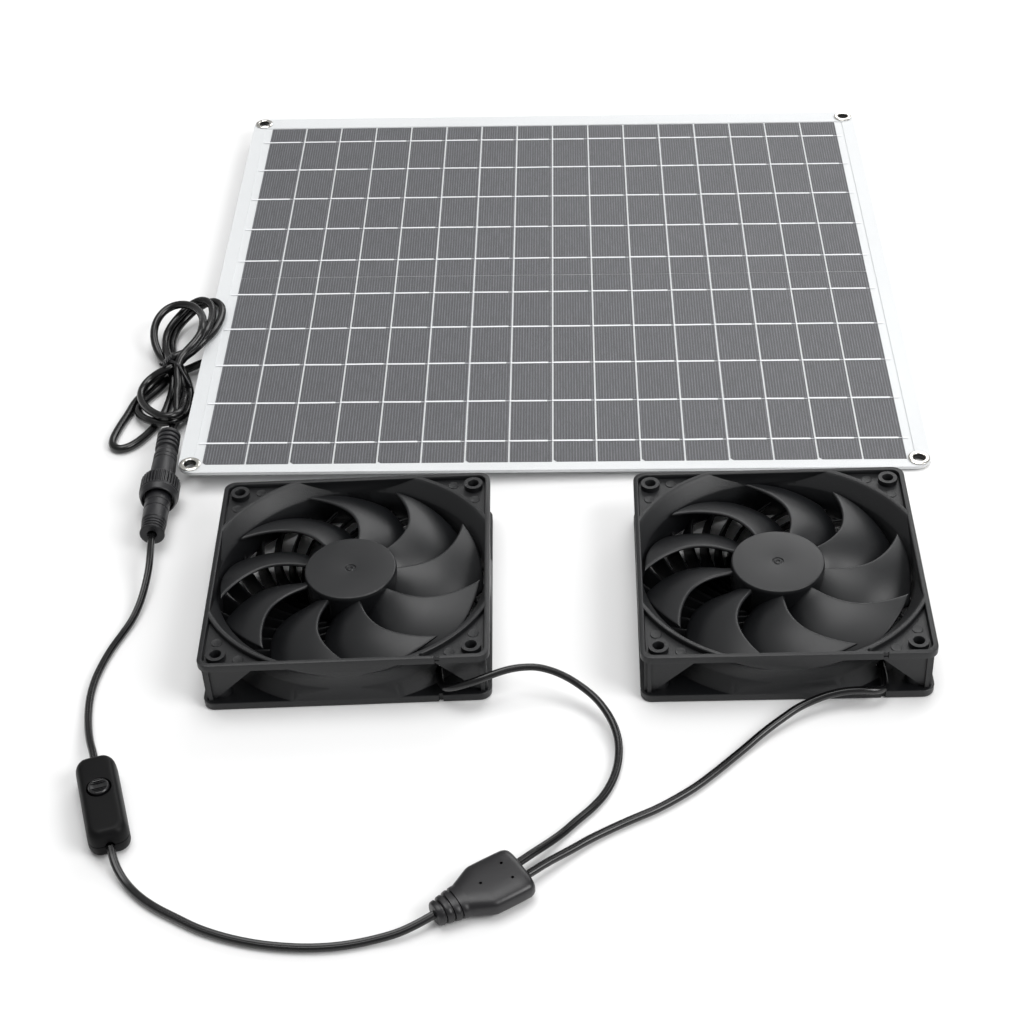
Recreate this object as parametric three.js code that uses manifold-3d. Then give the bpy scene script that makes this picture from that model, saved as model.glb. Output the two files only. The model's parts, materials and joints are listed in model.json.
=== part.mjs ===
// Solar attic fan: a flat photovoltaic panel that feeds two 120 mm axial fans
// through a bundled lead, a screw connector, an in-line switch and a Y-splitter.
// Units are millimetres, +Z up. The origin is on the ground, at the middle of the
// box around the panel and the fans. The panel is the rear half, the fans the front.
import * as THREE from "three";
import { mergeVertices } from "three/addons/utils/BufferGeometryUtils.js";
import Module from "manifold-3d";

const wasm = await Module();
wasm.setup();

// ---------------------------------------------------------------- dimensions
const rad = Math.PI / 180;
const PANEL = { w: 352, d: 336, corner: 8, y: 73.8, z: 5.01, tilt: 1.4414 * rad };
const LAYER = { board: 1.2, cell0: 1.25, cell1: 1.45, bus0: 1.5, bus1: 1.62, film0: 1.67, top: 1.95 };
const CELL = { w: 19.84, h: 158.75, gapX: 0.8, gapY: 0.5, n: 16, y: -2.6 };
const RIBBON = { w: 1.1, at: [0.1, 0.3, 0.5, 0.7, 0.9] };
const EYELET = { x: 170.3, y: 162, bore: 2.85, ring: 5.0, hole: 3.75 };
const JBOX = { x0: -160, x1: -116, y: -71.5, d: 62, h: 7.5 };
const FAN = { size: 120, h: 25, corner: 5, pitch: 52.5, hole: 2.2, bore: 57.9, bell: 63.2, inner: 57.75 };
const HUB = { r: 20.4, top: 23.3, low: 8.5 };
const BLADE = { n: 9, root: 19.9, tip: 56.4, t: 1.6, chord: 38 * rad, le: 20.4, te: 9.2 };
const VANE = { n: 29, r0: 19.9, r1: 58.9, t: 1.2, z0: 0.9, z1: 7.8 };
const FAN_LEFT = { x: -86.5, y: -178.7, yaw: 1.12 * rad, blades: 3.9 * rad };
const FAN_RIGHT = { x: 96.24, y: -181.5, yaw: -0.33 * rad, blades: 31.7 * rad };
const CONNECTOR = { tail: [-183.8, -63.6, 9.75], end: [-181.0, -136.9, 9.75] };
const SWITCH = { x: -177.1, y: -296.1, yaw: Math.atan2(-0.9555, 0.295), l: 40.5, w: 12.5, h: 12.5 };
const SPLITTER = { x: -44.0, y: -353.5, yaw: Math.atan2(0.53, 0.848) };
const LEAD = { panel: 4.0, thin: 3.3 };
const GAP = 0.3;

// ------------------------------------------------------------------ helpers
const V2 = (x, y) => new THREE.Vector2(x, y);
const V3 = (p) => new THREE.Vector3(p[0], p[1], p[2]);

// geometry turned into a solid for joins and cuts, and back
function solid(g) {
  const flat = g.index ? g.toNonIndexed() : g;
  const bare = new THREE.BufferGeometry().setAttribute("position", flat.getAttribute("position"));
  const m = mergeVertices(bare, 1e-4);
  return new wasm.Manifold(
    new wasm.Mesh({
      numProp: 3,
      vertProperties: m.attributes.position.array,
      triVerts: new Uint32Array(m.index.array),
    }),
  );
}
function geometry(s) {
  const m = s.getMesh(), n = m.numProp, v = new Float32Array(m.numVert * 3);
  for (let i = 0; i < m.numVert; i++)
    v.set(m.vertProperties.subarray(i * n, i * n + 3), i * 3);
  const g = new THREE.BufferGeometry()
    .setAttribute("position", new THREE.BufferAttribute(v, 3))
    .setIndex(new THREE.BufferAttribute(new Uint32Array(m.triVerts), 1));
  g.computeVertexNormals();
  return g;
}
const join = (...parts) => parts.reduce((a, b) => a.add(b));

function at(g, x, y, z, rz = 0) {
  if (rz) g.rotateZ(rz);
  return g.translate(x, y, z);
}
// a box between two corners
function block(x0, x1, y0, y1, z0, z1) {
  return new THREE.BoxGeometry(x1 - x0, y1 - y0, z1 - z0).translate((x0 + x1) / 2, (y0 + y1) / 2, (z0 + z1) / 2);
}
// a round bar along +Z
function bar(r, z0, z1, seg = 32) {
  return new THREE.CylinderGeometry(r, r, z1 - z0, seg).rotateX(Math.PI / 2).translate(0, 0, (z0 + z1) / 2);
}
// a profile of [r, z] points, turned about Z; it closes on itself
function turned(points, seg = 48) {
  const p = points.map(([r, z]) => V2(r, z));
  if (points[0][0] > 0 || points[points.length - 1][0] > 0) p.push(p[0].clone());
  const g = new THREE.LatheGeometry(p, seg);
  g.rotateX(Math.PI / 2);
  return facingOut(g);
}
// turns a closed geometry the right way round when its volume is negative
function facingOut(g) {
  const i = g.index.array, p = g.attributes.position.array;
  let v = 0;
  for (let k = 0; k < i.length; k += 3) {
    const a = 3 * i[k], b = 3 * i[k + 1], c = 3 * i[k + 2];
    v += p[a] * (p[b + 1] * p[c + 2] - p[b + 2] * p[c + 1]) -
         p[a + 1] * (p[b] * p[c + 2] - p[b + 2] * p[c]) +
         p[a + 2] * (p[b] * p[c + 1] - p[b + 1] * p[c]);
  }
  if (v < 0) for (let k = 0; k < i.length; k += 3) [i[k + 1], i[k + 2]] = [i[k + 2], i[k + 1]];
  return g;
}
function roundedRect(w, d, r, shape = new THREE.Shape()) {
  const x = w / 2, y = d / 2;
  shape.moveTo(-x + r, -y);
  shape.lineTo(x - r, -y); shape.absarc(x - r, -y + r, r, -Math.PI / 2, 0);
  shape.lineTo(x, y - r); shape.absarc(x - r, y - r, r, 0, Math.PI / 2);
  shape.lineTo(-x + r, y); shape.absarc(-x + r, y - r, r, Math.PI / 2, Math.PI);
  shape.lineTo(-x, -y + r); shape.absarc(-x + r, -y + r, r, Math.PI, Math.PI * 1.5);
  return shape;
}
function circle(x, y, r) {
  const p = new THREE.Path();
  p.absarc(x, y, r, 0, Math.PI * 2, true);
  return p;
}
function polygon(points) {
  return new THREE.Shape(points.map(([x, y]) => V2(x, y)));
}
function plate(shape, z0, z1, curveSegments = 6) {
  return new THREE.ExtrudeGeometry(shape, { depth: z1 - z0, bevelEnabled: false, curveSegments }).translate(0, 0, z0);
}
// a cord: a round section carried along a smooth route
function cord(points, diameter, steps) {
  const sides = 8, section = new THREE.Shape();
  for (let i = 0; i < sides; i++) {
    const a = (2 * Math.PI * i) / sides, x = (diameter / 2) * Math.cos(a), y = (diameter / 2) * Math.sin(a);
    i ? section.lineTo(x, y) : section.moveTo(x, y);
  }
  section.closePath();
  const path = new THREE.CatmullRomCurve3(points.map(V3), false, "centripetal");
  return new THREE.ExtrudeGeometry(section, { steps, extrudePath: path, bevelEnabled: false });
}
// a turned piece laid along a line: local Z becomes the direction from a to b
function along(group, a, b) {
  const A = V3(a), B = V3(b);
  group.position.copy(A);
  group.quaternion.setFromUnitVectors(new THREE.Vector3(0, 0, 1), B.clone().sub(A).normalize());
  return group;
}

const assembly = new THREE.Group();
assembly.name = "solar_attic_fan";
function piece(parent, name, g, color, roughness = 0.6, metalness = 0) {
  const mesh = new THREE.Mesh(
    g instanceof THREE.BufferGeometry ? g : geometry(g),
    new THREE.MeshStandardMaterial({ color, roughness, metalness }),
  );
  mesh.name = name;
  parent.add(mesh);
  return mesh;
}
const BLACK = 0x2b2c30, DARK = 0x1c1d20, NICKEL = 0xc9c7c2, STEEL = 0xa8abb0, WHITE = 0xe6ecee, COPPER = 0xb06a3a;

// -------------------------------------------------------------------- panel
const panel = new THREE.Group();
panel.position.set(0, PANEL.y, PANEL.z);
panel.rotation.y = PANEL.tilt;
assembly.add(panel);
{
  const eyelets = [[-1, 1], [1, 1], [-1, -1], [1, -1]].map(([a, b]) => [a * EYELET.x, b * EYELET.y]);
  const outline = () => {
    const s = roundedRect(PANEL.w, PANEL.d, PANEL.corner);
    eyelets.forEach(([x, y]) => s.holes.push(circle(x, y, EYELET.hole)));
    return s;
  };
  piece(panel, "backing_board", plate(outline(), 0, LAYER.board, 4), WHITE, 0.55);

  // cells: two rows of narrow strips, each row joined by one link per gap
  const total = CELL.n * CELL.w + (CELL.n - 1) * CELL.gapX;
  const left = (i) => -total / 2 + i * (CELL.w + CELL.gapX);
  const rows = { rear: CELL.y + CELL.gapY / 2, front: CELL.y - CELL.gapY / 2 - CELL.h };
  for (const [row, y0] of Object.entries(rows)) {
    const y1 = y0 + CELL.h, mid = (y0 + y1) / 2, low = [], high = [];
    for (let i = 0; i < CELL.n; i++) {
      const x0 = left(i), x1 = x0 + CELL.w;
      low.push([x0, y0], [x1, y0]);
      high.push([x0, y1], [x1, y1]);
      if (i < CELL.n - 1) {
        const xn = left(i + 1);
        low.push([x1, mid - 1], [xn, mid - 1]);
        high.push([x1, mid + 1], [xn, mid + 1]);
      }
    }
    piece(panel, "cell_string_" + row, plate(polygon([...low, ...high.reverse()]), LAYER.cell0, LAYER.cell1), 0x5e5e62, 0.4, 0.2);
    // ribbons across the row, gathered by a collector at the left border
    const x0 = -total / 2 - 4.2, x1 = total / 2 + 3.2, comb = [[x0, y0 + CELL.h * 0.1 - RIBBON.w / 2]];
    RIBBON.at.forEach((f, i) => {
      const y = y0 + CELL.h * f;
      comb.push([x1, y - RIBBON.w / 2], [x1, y + RIBBON.w / 2]);
      if (i < RIBBON.at.length - 1)
        comb.push([x0 + 1.4, y + RIBBON.w / 2], [x0 + 1.4, y0 + CELL.h * RIBBON.at[i + 1] - RIBBON.w / 2]);
    });
    comb.push([x0, y0 + CELL.h * 0.9 + RIBBON.w / 2]);
    piece(panel, "busbars_" + row, plate(polygon(comb), LAYER.bus0, LAYER.bus1), 0xcfd3d4, 0.35, 0.9);
  }
  // clear front film, with a rim that closes the laminate's edge
  const rim = outline();
  rim.holes.push(roundedRect(total + 9.6, 2 * CELL.h + CELL.gapY + 1.2, 0.5, new THREE.Path()));
  // the cell window sits a little forward of the middle
  const window_ = rim.holes[rim.holes.length - 1];
  rim.holes.pop();
  const frameRim = solid(plate(rim, LAYER.board + 0.05, LAYER.film0 + 0.05, 4)).subtract(
    solid(plate(new THREE.Shape(window_.getPoints(2)), 0, 3).translate(0, CELL.y, 0)));
  piece(panel, "front_film", frameRim.add(solid(plate(outline(), LAYER.film0, LAYER.top, 4))), 0xdfe6ea, 0.25);

  // pressed eyelets through the corners
  eyelets.forEach(([x, y], i) => {
    const b = EYELET.bore, r = EYELET.ring;
    const g = turned([
      [b, 2.6], [r - 0.8, 2.6], [r, 2.15], [b + 0.3, 2.15],
      [b + 0.3, -0.15], [r, -0.15], [r - 0.2, -0.6], [b, -0.6],
    ], 14);
    piece(panel, "eyelet_" + (i + 1), at(g, x, y, 0), NICKEL, 0.28, 1);
  });

  // junction box under the left side
  const { x0, x1, y, d, h } = JBOX, yl = y - d / 2, yh = y + d / 2, mid = -h / 2 - GAP;
  let base = solid(at(plate(roundedRect(x1 - x0, d, 3), -6.2, -GAP, 3), (x0 + x1) / 2, y, 0))
    .subtract(solid(at(plate(roundedRect(x1 - x0 - 4, d - 4, 2), -7, -1.8, 3), (x0 + x1) / 2, y, 0)));
  base = join(base, solid(block(x0 + 12, x0 + 14, yl + 1, yh - 1, -4.6, -1.6)));
  const throat = solid(at(new THREE.CylinderGeometry(2.3, 2.3, 10, 16).rotateZ(Math.PI / 2), x0 + 1, y, mid));
  base = base.subtract(throat);
  piece(panel, "junction_box_base", base, DARK, 0.5);
  piece(panel, "junction_box_lid", solid(at(plate(roundedRect(x1 - x0, d, 3), -h - GAP, -6.5, 3), (x0 + x1) / 2, y, 0))
    .subtract(solid(block(x0 - 1, x0 + 5, y - 4.1, y + 4.1, -9, -6))), DARK, 0.5);
  piece(panel, "bypass_diode", join(
    solid(at(new THREE.CylinderGeometry(1.3, 1.3, 8, 16), x0 + 26, y, -4)),
    solid(at(new THREE.CylinderGeometry(0.4, 0.4, 22, 8), x0 + 26, y, -4))), 0x202022, 0.4);
  // ribbed cable gland on the box's left wall
  const gland = turned([[2.25, 0.3], [3.6, 0.3], [3.6, 3], [3.0, 3.4], [3.3, 5.2], [2.8, 5.6], [3.1, 7.4], [2.7, 7.8], [2.7, 12], [2.25, 12]], 14);
  gland.rotateY(-Math.PI / 2);
  piece(panel, "panel_cable_gland", at(gland, x0, y, mid), DARK, 0.55);
}

// --------------------------------------------------------------------- fans
// leading edge of a blade: how far it leans forward at a radius, in degrees
const LEAN = [[19, 1.2], [20, 1.5], [28, 2.6], [38, 8.2], [46, 16.5], [52, 23.6], [56, 28.5], [60, 33]];
function lean(r) {
  for (let i = 1; i < LEAN.length; i++)
    if (r <= LEAN[i][0]) {
      const [a, p] = LEAN[i - 1], [b, q] = LEAN[i];
      return (p + ((q - p) * (r - a)) / (b - a)) * rad;
    }
  return 0;
}
// a box remapped onto a surface: s(u, v) is the mid-surface, t its thickness
function sheetSolid(s, t, nu, nv) {
  const g = new THREE.BoxGeometry(1, 1, 1, nu, nv, 1), p = g.attributes.position, e = 1e-3;
  for (let i = 0; i < p.count; i++) {
    const u = p.getX(i) + 0.5, v = p.getY(i) + 0.5, w = p.getZ(i);
    const c = s(u, v), du = s(u + e, v).sub(s(u - e, v)), dv = s(u, v + e).sub(s(u, v - e));
    const n = du.cross(dv).normalize();
    p.setXYZ(i, c.x + n.x * t * w, c.y + n.y * t * w, c.z + n.z * t * w);
  }
  return facingOut(mergeVertices(new THREE.BufferGeometry().setAttribute("position", p).setIndex(g.index), 1e-4));
}
function bladeSurface(base) {
  return (u, v) => {
    const r = BLADE.root + (BLADE.tip - BLADE.root) * u;
    const a = base + lean(r) - BLADE.chord * v;
    const z = BLADE.le - (BLADE.le - BLADE.te) * (0.55 * v + 0.45 * v * v);
    return new THREE.Vector3(r * Math.cos(a), r * Math.sin(a), z);
  };
}
function vaneSurface(base) {
  return (u, v) => {
    const r = VANE.r0 + (VANE.r1 - VANE.r0) * u;
    const a = base + 0.105 - Math.log(r / 20) - 0.105 * v;
    return new THREE.Vector3(r * Math.cos(a), r * Math.sin(a), VANE.z0 + (VANE.z1 - VANE.z0) * v);
  };
}

function fanFrame() {
  const S = FAN.size, I = FAN.inner;
  const square = (z0, z1) => solid(plate(roundedRect(S, S, FAN.corner), z0, z1, 3));
  let f = join(square(21.5, 25), square(0, 3.6));
  const duct = solid(turned([[0, 0.1], [61.8, 0.1], [62.3, 4], [59.9, 8], [59.9, 22], [0, 22]], 29)).intersect(square(0, 25));
  f = f.add(duct);
  for (const [a, b] of [[1, 1], [-1, 1], [1, -1], [-1, -1]]) {
    f = f.add(solid(at(bar(4.1, 0, 25, 12), a * FAN.pitch, b * FAN.pitch, 0)));
    // webs from the post to the duct, along both walls
    for (const turn of [0, 1]) {
      const g = new THREE.ExtrudeGeometry(polygon([[51, 5], [51, 22], [36, 22]]), { depth: 1.2, bevelEnabled: false });
      g.rotateX(Math.PI / 2).translate(0, -54.6, 0);
      let s = solid(g);
      if (turn) s = s.rotate([0, 0, 90]).mirror([0, 1, 0]);
      if (!turn && a < 0) s = s.mirror([1, 0, 0]);
      if (turn && a > 0) s = s.mirror([1, 0, 0]);
      if (!turn && b > 0) s = s.mirror([0, 1, 0]);
      if (turn && b > 0) s = s.mirror([0, 1, 0]);
      f = f.add(s);
    }
  }
  // the air passage: bell mouth above, a short flare below
  const bore = [[0, -1]];
  bore.push([62.4, -1], [62.4, 0]);
  for (const t of [0.4, 1]) bore.push([57.9 + 4.5 * Math.pow(1 - t, 1.7), 5 * t]);
  bore.push([57.9, 19]);
  for (const t of [0.55, 0.87, 1]) bore.push([57.9 + 5.3 * (1 - Math.sqrt(1 - t * t)), 19 + 6 * t]);
  bore.push([63.2, 26], [0, 26]);
  const inside = solid(block(-I, I, -I, I, -2, 27));
  f = f.subtract(solid(turned(bore, 29)).intersect(inside));
  // corner pockets in both faces, with the bosses left standing
  const pocketRing = (z0, z1) => {
    let p = solid(plate(roundedRect(2 * I, 2 * I, 3.2), z0, z1, 2)).subtract(solid(bar(65.6, z0 - 1, z1 + 1, 36)));
    for (const [a, b] of [[1, 1], [-1, 1], [1, -1], [-1, -1]])
      p = p.subtract(solid(at(bar(4.1, z0 - 1, z1 + 1, 12), a * FAN.pitch, b * FAN.pitch, 0)));
    return p;
  };
  f = f.subtract(pocketRing(22.6, 26)).subtract(pocketRing(-1, 2.4));
  for (const [a, b] of [[1, 1], [-1, 1], [1, -1], [-1, -1]])
    f = f.subtract(solid(at(bar(FAN.hole, -1, 26, 12), a * FAN.pitch, b * FAN.pitch, 0)));
  // cable notch in the front wall, and a nick in the lower flange
  f = f.subtract(solid(block(37.5, 39.7, -61, -57, 21, 26)));
  f = f.subtract(solid(block(31.6, 42.5, -58.6, -57, 22.6, 26)));
  f = f.subtract(solid(block(38.0, 39.8, -61, -58.4, -1, 4)));
  // cable outlet through the duct wall
  f = f.subtract(solid(at(new THREE.CylinderGeometry(2.6, 2.6, 9, 12), 38.6, -44.6, 6.2)));
  // motor cup with its bearing tube
  f = f.add(solid(turned([[0, 0.7], [20.5, 0.7], [20.5, 7.4], [19.2, 7.4], [19.2, 2.4], [5.6, 2.4], [5.6, 18.8], [4.35, 18.8], [4.35, 2.4], [0, 2.4]], 29)));
  // guide vanes from the cup to the duct wall
  let vanes = null;
  for (let k = 0; k < VANE.n; k++) {
    const v = solid(sheetSolid(vaneSurface((k * 2 * Math.PI) / VANE.n), VANE.t, 2, 1));
    vanes = vanes ? vanes.add(v) : v;
  }
  return f.add(vanes);
}
const FRAME = fanFrame();

function impellerGeometry(base) {
  const top = HUB.top, R = HUB.r;
  let hub = solid(turned([
    [0, top - 0.5], [1.2, top - 0.5], [1.6, top], [19.0, top], [19.9, top - 0.35], [R, top - 1.2], [R, HUB.low],
    [18.9, HUB.low], [18.9, 22.0], [3.4, 22.0], [3.4, 18.6], [1.8, 18.6], [1.8, 22.3], [0, 22.3],
  ], 27));
  for (let k = 0; k < BLADE.n; k++)
    hub = hub.add(solid(sheetSolid(bladeSurface(base + (k * 2 * Math.PI) / BLADE.n), BLADE.t, 4, 3)));
  return hub;
}

function fan(where, side) {
  const g = new THREE.Group();
  g.position.set(where.x, where.y, 0);
  g.rotation.z = where.yaw;
  assembly.add(g);
  piece(g, "fan_frame_" + side, FRAME, BLACK, 0.55);
  piece(g, "impeller_" + side, impellerGeometry(where.blades), BLACK, 0.5);
  piece(g, "rotor_yoke_" + side, turned([[17.9, 9], [18.6, 9], [18.6, 21.7], [3.7, 21.7], [3.7, 21], [17.9, 21]], 20), STEEL, 0.35, 1);
  piece(g, "magnet_ring_" + side, turned([[16.1, 9.5], [17.6, 9.5], [17.6, 20], [16.1, 20]], 20), 0x2a2624, 0.7);
  piece(g, "motor_shaft_" + side, bar(1.5, 2.9, 22, 12), STEEL, 0.25, 1);
  const race = (z0, z1) => turned([[1.8, z0], [4.05, z0], [4.05, z1], [1.8, z1]], 14);
  piece(g, "bearing_upper_" + side, race(15.3, 18.3), STEEL, 0.3, 1);
  piece(g, "bearing_lower_" + side, race(4.2, 7.2), STEEL, 0.3, 1);
  // stator iron: four poles
  const iron = new THREE.Shape();
  const pts = [];
  for (let k = 0; k < 4; k++) {
    const c = (k * Math.PI) / 2, P = (r, d) => [r * Math.cos(c) - d * Math.sin(c), r * Math.sin(c) + d * Math.cos(c)];
    pts.push(P(7.4, -1.7), P(12.7, -1.7), P(12.7, -8.2), P(13.3, -8.4), P(14.6, -4.6), P(15.3, 0), P(14.6, 4.6), P(13.3, 8.4), P(12.7, 8.2), P(12.7, 1.7), P(7.4, 1.7));
  }
  pts.forEach(([x, y], i) => (i ? iron.lineTo(x, y) : iron.moveTo(x, y)));
  iron.closePath();
  iron.holes.push(circle(0, 0, 5.95));
  piece(g, "stator_core_" + side, plate(iron, 11.5, 17, 8), STEEL, 0.45, 0.9);
  let coils = join(solid(turned([[6.0, 17.4], [8.2, 17.4], [8.2, 18.6], [6.0, 18.6]], 16)), solid(turned([[6.0, 9.8], [8.2, 9.8], [8.2, 11.1], [6.0, 11.1]], 16)));
  for (let k = 0; k < 4; k++) {
    const c = solid(block(7.8, 12.3, -3.8, 3.8, 9.8, 18.6)).subtract(solid(block(7, 13, -2.05, 2.05, 11.1, 17.4)));
    coils = coils.add(c.rotate([0, 0, k * 90]));
  }
  piece(g, "stator_windings_" + side, coils, COPPER, 0.45, 0.6);
  piece(g, "motor_circuit_board_" + side, turned([[5.95, 4.2], [16, 4.2], [16, 5.4], [5.95, 5.4]], 20), 0x1f5a38, 0.5);
  const clip = new THREE.Shape();
  clip.absarc(0, 0, 3.3, 0.5, 2 * Math.PI - 0.5, false);
  clip.absarc(0, 0, 1.8, 2 * Math.PI - 0.5, 0.5, true);
  piece(g, "retaining_clip_" + side, plate(clip, 3.2, 3.8, 5), STEEL, 0.3, 1);
  piece(g, "base_label_" + side, bar(17, 0.15, 0.4, 24), 0xbfc3c6, 0.5);
}
fan(FAN_LEFT, "left");
fan(FAN_RIGHT, "right");

// ------------------------------------------------------------ screw connector
const connector = along(new THREE.Group(), CONNECTOR.tail, CONNECTOR.end);
assembly.add(connector);
{
  const profile = [[2.3, 0]];
  for (let i = 0; i < 4; i++) profile.push([5.5, 3.25 * i], [5.5, 3.25 * i + 2.1], [4.25, 3.25 * i + 2.3], [4.25, 3.25 * i + 3.2]);
  profile.push([5.0, 13.4], [5.4, 16.2], [5.9, 35.4], [4.7, 35.4], [4.7, 44], [3.6, 44], [3.6, 9.9], [2.3, 9.9]);
  piece(connector, "connector_socket", turned(profile, 14), DARK, 0.55);
  const nut = solid(turned([[6.25, 35.8], [9.2, 35.8], [9.75, 36.4], [9.75, 46.2], [8.6, 49.3], [7.2, 49.3], [7.2, 46.6], [6.25, 46.6]], 24));
  piece(connector, "union_nut", nut, BLACK, 0.45);
  piece(connector, "connector_plug", turned([
    [2.0, 55], [2.0, 73.5], [5.7, 73.5], [5.7, 72.8], [4.75, 72.6], [4.75, 71.5], [5.9, 71.3], [5.9, 44.9], [3.6, 44.9], [3.6, 55],
  ], 18), DARK, 0.55);
  piece(connector, "connector_seal_ring", turned([[4.75, 44.3], [5.6, 44.3], [5.6, 44.6], [4.75, 44.6]], 16), 0x6a3a2a, 0.8);
  piece(connector, "connector_pins", join(
    solid(bar(3.2, 45.2, 54.6, 12)),
    solid(at(bar(0.75, 34, 46, 8), 1.5, 0, 0)), solid(at(bar(0.75, 34, 46, 8), -1.5, 0, 0))), 0xc9a552, 0.3, 1);
}

// ------------------------------------------------------------ in-line switch
const control = new THREE.Group();
control.position.set(SWITCH.x, SWITCH.y, 0);
control.rotation.z = SWITCH.yaw;
assembly.add(control);
{
  const { l, w } = SWITCH;
  const cable = () => solid(new THREE.CylinderGeometry(1.95, 1.95, 60, 10).rotateZ(Math.PI / 2).translate(0, 0, 5.6));
  const lower = solid(plate(roundedRect(l + 4, w + 4, 7.8), 0.3, 5.7, 4))
    .subtract(solid(plate(roundedRect(l - 1, w - 0.4, 5.6), 2.2, 6, 3)));
  const upperOut = new THREE.ExtrudeGeometry(roundedRect(l, w, 5.8), { depth: 2.2, bevelEnabled: true, bevelThickness: 2, bevelSize: 2, bevelOffset: 0, bevelSegments: 2, curveSegments: 4 });
  upperOut.translate(0, 0, 8.3);
  let upper = solid(upperOut).intersect(solid(block(-40, 40, -20, 20, 6, 12.5)));
  upper = upper.add(solid(plate(roundedRect(l + 4, w + 4, 7.8), 6, 9.2, 4)));
  upper = upper.subtract(solid(plate(roundedRect(l - 1, w - 0.4, 5.6), 5, 9.8, 3)));
  upper = upper.subtract(solid(at(bar(4.6, 9, 14, 20), -3.2, 0, 0)));
  piece(control, "switch_lower_shell", lower.subtract(cable()), DARK, 0.5);
  piece(control, "switch_upper_shell", upper.subtract(cable()), BLACK, 0.5);
  // round rocker, rocking about the short axis
  const rocker = solid(turned([[0, 8.6], [3.9, 8.6], [3.9, 12.2], [3.3, 12.9], [0, 13.1]], 16));
  piece(control, "switch_rocker", rocker.translate([-3.2, 0, 0]), 0x151517, 0.4);
  piece(control, "switch_contacts", join(solid(block(-12, 8, -2.4, 2.4, 3, 3.8)), solid(block(-12, -11, -1, 1, 3, 5)), solid(block(7, 8, -1, 1, 3, 5))), 0xc9a552, 0.35, 1);
  for (const [i, x] of [[1, -16.2], [2, 16.2]])
    piece(control, "switch_screw_" + i, at(bar(1.0, 2.6, 5.2, 12), x, 3.9, 0), STEEL, 0.4, 1);
}

// ---------------------------------------------------------------- Y-splitter
const splitter = new THREE.Group();
splitter.position.set(SPLITTER.x, SPLITTER.y, 0);
splitter.rotation.z = SPLITTER.yaw;
assembly.add(splitter);
{
  const half = [[10.6, 5.9], [20, 11.6], [35.2, 11.6], [37.2, 10.4], [38, 8]];
  const outline = [...half, ...half.map(([x, y]) => [x, -y]).reverse()];
  const g = new THREE.ExtrudeGeometry(polygon(outline), { depth: 3.2, bevelEnabled: true, bevelThickness: 3, bevelSize: 2.8, bevelOffset: -2.8, bevelSegments: 3 });
  g.translate(0, 0, 3.4);
  let body = solid(g);
  const tail = turned([[0, 0], [4.3, 0], [4.5, 2], [3.8, 2.3], [3.8, 3.1], [4.6, 3.4], [4.7, 5.4], [4.0, 5.7], [4.0, 6.5], [4.7, 6.8], [4.75, 8.8], [4.1, 9.1], [4.1, 9.8], [4.75, 10.1], [4.75, 13], [0, 13]], 12);
  tail.rotateY(Math.PI / 2);
  body = body.add(solid(tail.translate(0, 0, 5.0)));
  for (const [x, y] of [[31.6, 4.1], [31.6, -4.1], [20.2, 0]]) body = body.subtract(solid(at(bar(0.5, 8.2, 12, 8), x, y, 0)));
  piece(splitter, "y_splitter", body, DARK, 0.5);
}

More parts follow.
